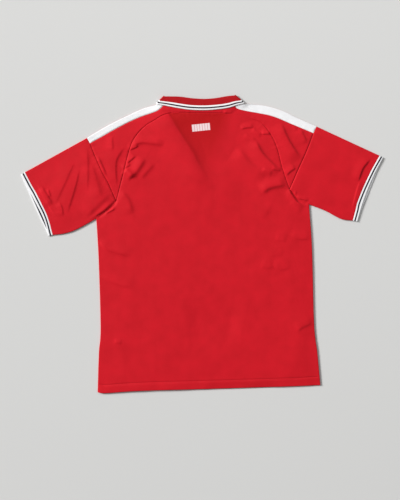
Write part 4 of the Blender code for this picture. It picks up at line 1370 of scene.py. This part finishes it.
def rib_knit(name, shade_and_tone, light, stripes):
    """Rib in a colour, painted darker in the furrows between its ribs, with stripes across it."""
    material, shader, tree = new_finish(name, {**MATT, "Sheen Weight": RIB_SHEEN})
    place = cloth_place(tree)
    along, across = place.split()
    ridge = abs((along * (math.pi / RIB_WALE)).sine()) ** RIDGE_SHAPE
    stitch = (across * (TAU / COURSE)).sine()
    ribs = ridge * 0.8 + stitch * 0.1 + 0.1
    # Painted shade: the colour is darker where the rib relief is low, in the furrows.
    colour = (ribs * 0.8 + 0.1).clamped().mixed(shade_and_tone, light)
    for stripe in stripes:
        colour = across.band(stripe.low * MM, stripe.high * MM, STRIPE_SOFT).mixed(colour, stripe.colour)
    tree.feed(shader, {"Base Color": colour, "Roughness": 0.6 + place.cloud(RIB_CLOUD) * 0.15,
                       "Normal": ribs.relief(RIB_DEPTH)})
    return material


def thread_finish(name, colour):
    """Sewing thread, with a fine grain between a colour and its shade."""
    constants = {"Roughness": THREAD_ROUGHNESS, "Sheen Weight": THREAD_SHEEN}
    material, shader, tree = new_finish(name, {**MATT, **constants})
    grain = tree.node("ShaderNodeTexCoord", output="Object").cloud(THREAD_GRAIN)
    shade = tuple(value * THREAD_SHADE for value in colour[:3]) + (1,)
    tree.feed(shader, {"Base Color": grain.mixed(colour, shade)})
    return material


collar_rib = rib_knit("red rib with tipping", RIB_RED_FURROW_SHADE, RIB_RED, COLLAR_STRIPES)
cuff_rib = rib_knit("white rib with a dark stripe", WHITE_TONE_AND_RECESS_SHADE, WHITE, CUFF_STRIPES)
red_thread = thread_finish("red sewing thread", THREAD_RED)
MATERIALS = {
    "front_panel": red_knit, "back_panel": printed_and_shaded_knit, "back_yoke": red_knit,
    "sleeve_left": red_knit, "sleeve_right": red_knit,
    "shoulder_band_left": white_knit, "shoulder_band_right": white_knit,
    "cuff_left": cuff_rib, "cuff_right": cuff_rib, "collar": collar_rib,
}
for node, material in MATERIALS.items():
    PIECES[node].data.materials.append(material)
for piece in STITCHES.values():
    piece.data.materials.append(red_thread)
print(len(MATERIALS), "pieces have their finish")

# %% [markdown]
# ## Cloth facts
#
# The table gives how each sheet was cut: the width and length of the rectangle that holds it, and its flat
# area. A tube's cut goes all round.

# %% Flat sizes
Cut = namedtuple("Cut", "node width length area rests_on")
CUTS = (
    Cut("front_panel", 0.55, 0.72, 0.334, ()),
    Cut("back_panel", 0.55, 0.69, 0.323, ("front_panel",)),
    Cut("back_yoke", 0.66, 0.085, 0.0275, ("front_panel",)),
    Cut("shoulder_band_left", 0.21, 0.019, 0.0035, ("front_panel",)),
    Cut("shoulder_band_right", 0.225, 0.020, 0.0042, ("front_panel",)),
    Cut("sleeve_left", 0.43, 0.20, 0.064, ()),
    Cut("sleeve_right", 0.42, 0.19, 0.062, ()),
    Cut("cuff_left", 0.345, 0.0115, 0.0039, ()),
    Cut("cuff_right", 0.345, 0.0115, 0.0039, ()),
    Cut("collar", 0.67, 0.052, 0.033, ()),
)
for cut in CUTS:
    sewn = [STITCHES[cut.node]] if cut.node in STITCHES else []
print("the cut comes to", round(sum(cut.area for cut in CUTS), 2), "square metres")

# %% [markdown]
# ## Floor, light and camera
#
# The jersey is seen from straight above. A low, wide light beyond the left sleeve
# draws the creases. A weak one beyond the collar and an even sky open the shadows.

# %% Floor
FLOOR_DROP, FLOOR_HALF = 0.3 * MM, 6
floor_mesh = bmesh.new()
bmesh.ops.create_grid(floor_mesh, x_segments=1, y_segments=1, size=FLOOR_HALF)
bmesh.ops.translate(floor_mesh, verts=floor_mesh.verts, vec=(0, 0, -FLOOR_DROP))
floor = new_object("floor", floor_mesh)
pale = new_finish("pale floor", {"Base Color": (0.60, 0.60, 0.59, 1), "Roughness": 0.9})
floor.data.materials.append(pale[0])
print("the floor lies", round(FLOOR_DROP / MM, 1), "mm below the cloth")

# %% Lights
def soft_light(name, azimuth, elevation, away, size, power):
    """A square light, turned to the middle of the jersey."""
    lamp = bpy.data.lights.new(name, "AREA")
    lamp.shape, lamp.size, lamp.energy = "SQUARE", size, power
    light = bpy.data.objects.new(name, lamp)
    bpy.context.scene.collection.objects.link(light)
    azimuth, elevation = math.radians(azimuth), math.radians(elevation)
    flat = away * math.cos(elevation)
    light.location = (flat * math.cos(azimuth), flat * math.sin(azimuth), away * math.sin(elevation))
    light.rotation_euler = (-light.location).to_track_quat("-Z", "Y").to_euler()


soft_light("window light", azimuth=157, elevation=29, away=40.0, size=12.0, power=23600)
soft_light("fill light", azimuth=80, elevation=50, away=2.6, size=2.0, power=13)
world = bpy.data.worlds.new("studio")
bpy.context.scene.world = world
world.use_nodes = True
sky = world.node_tree.nodes["Background"]
Signal(world.node_tree).feed(sky, {"Color": (1, 1, 1, 1), "Strength": 0.28})
bpy.context.scene.view_settings.view_transform = "Standard"
print(len(bpy.data.lights), "lights")

# %% Camera
PICTURE = 400, 500
WIDTH_SEEN = 0.984
LENS, SENSOR = 85.0, 36.0
CENTRE = (-4.55 * MM, -14.4 * MM)
SEEN_HEIGHT = 4 * MM  # where WIDTH_SEEN is measured: about half way up the cloth
height_seen = WIDTH_SEEN * PICTURE[1] / PICTURE[0]
camera = bpy.data.objects.new("camera", bpy.data.cameras.new("camera"))
camera.data.lens, camera.data.sensor_width = LENS, SENSOR
camera.location = (*CENTRE, height_seen * LENS / SENSOR + SEEN_HEIGHT)
bpy.context.scene.collection.objects.link(camera)
bpy.context.scene.camera = camera
print("the camera is", round(camera.location.z, 2), "m above the table")
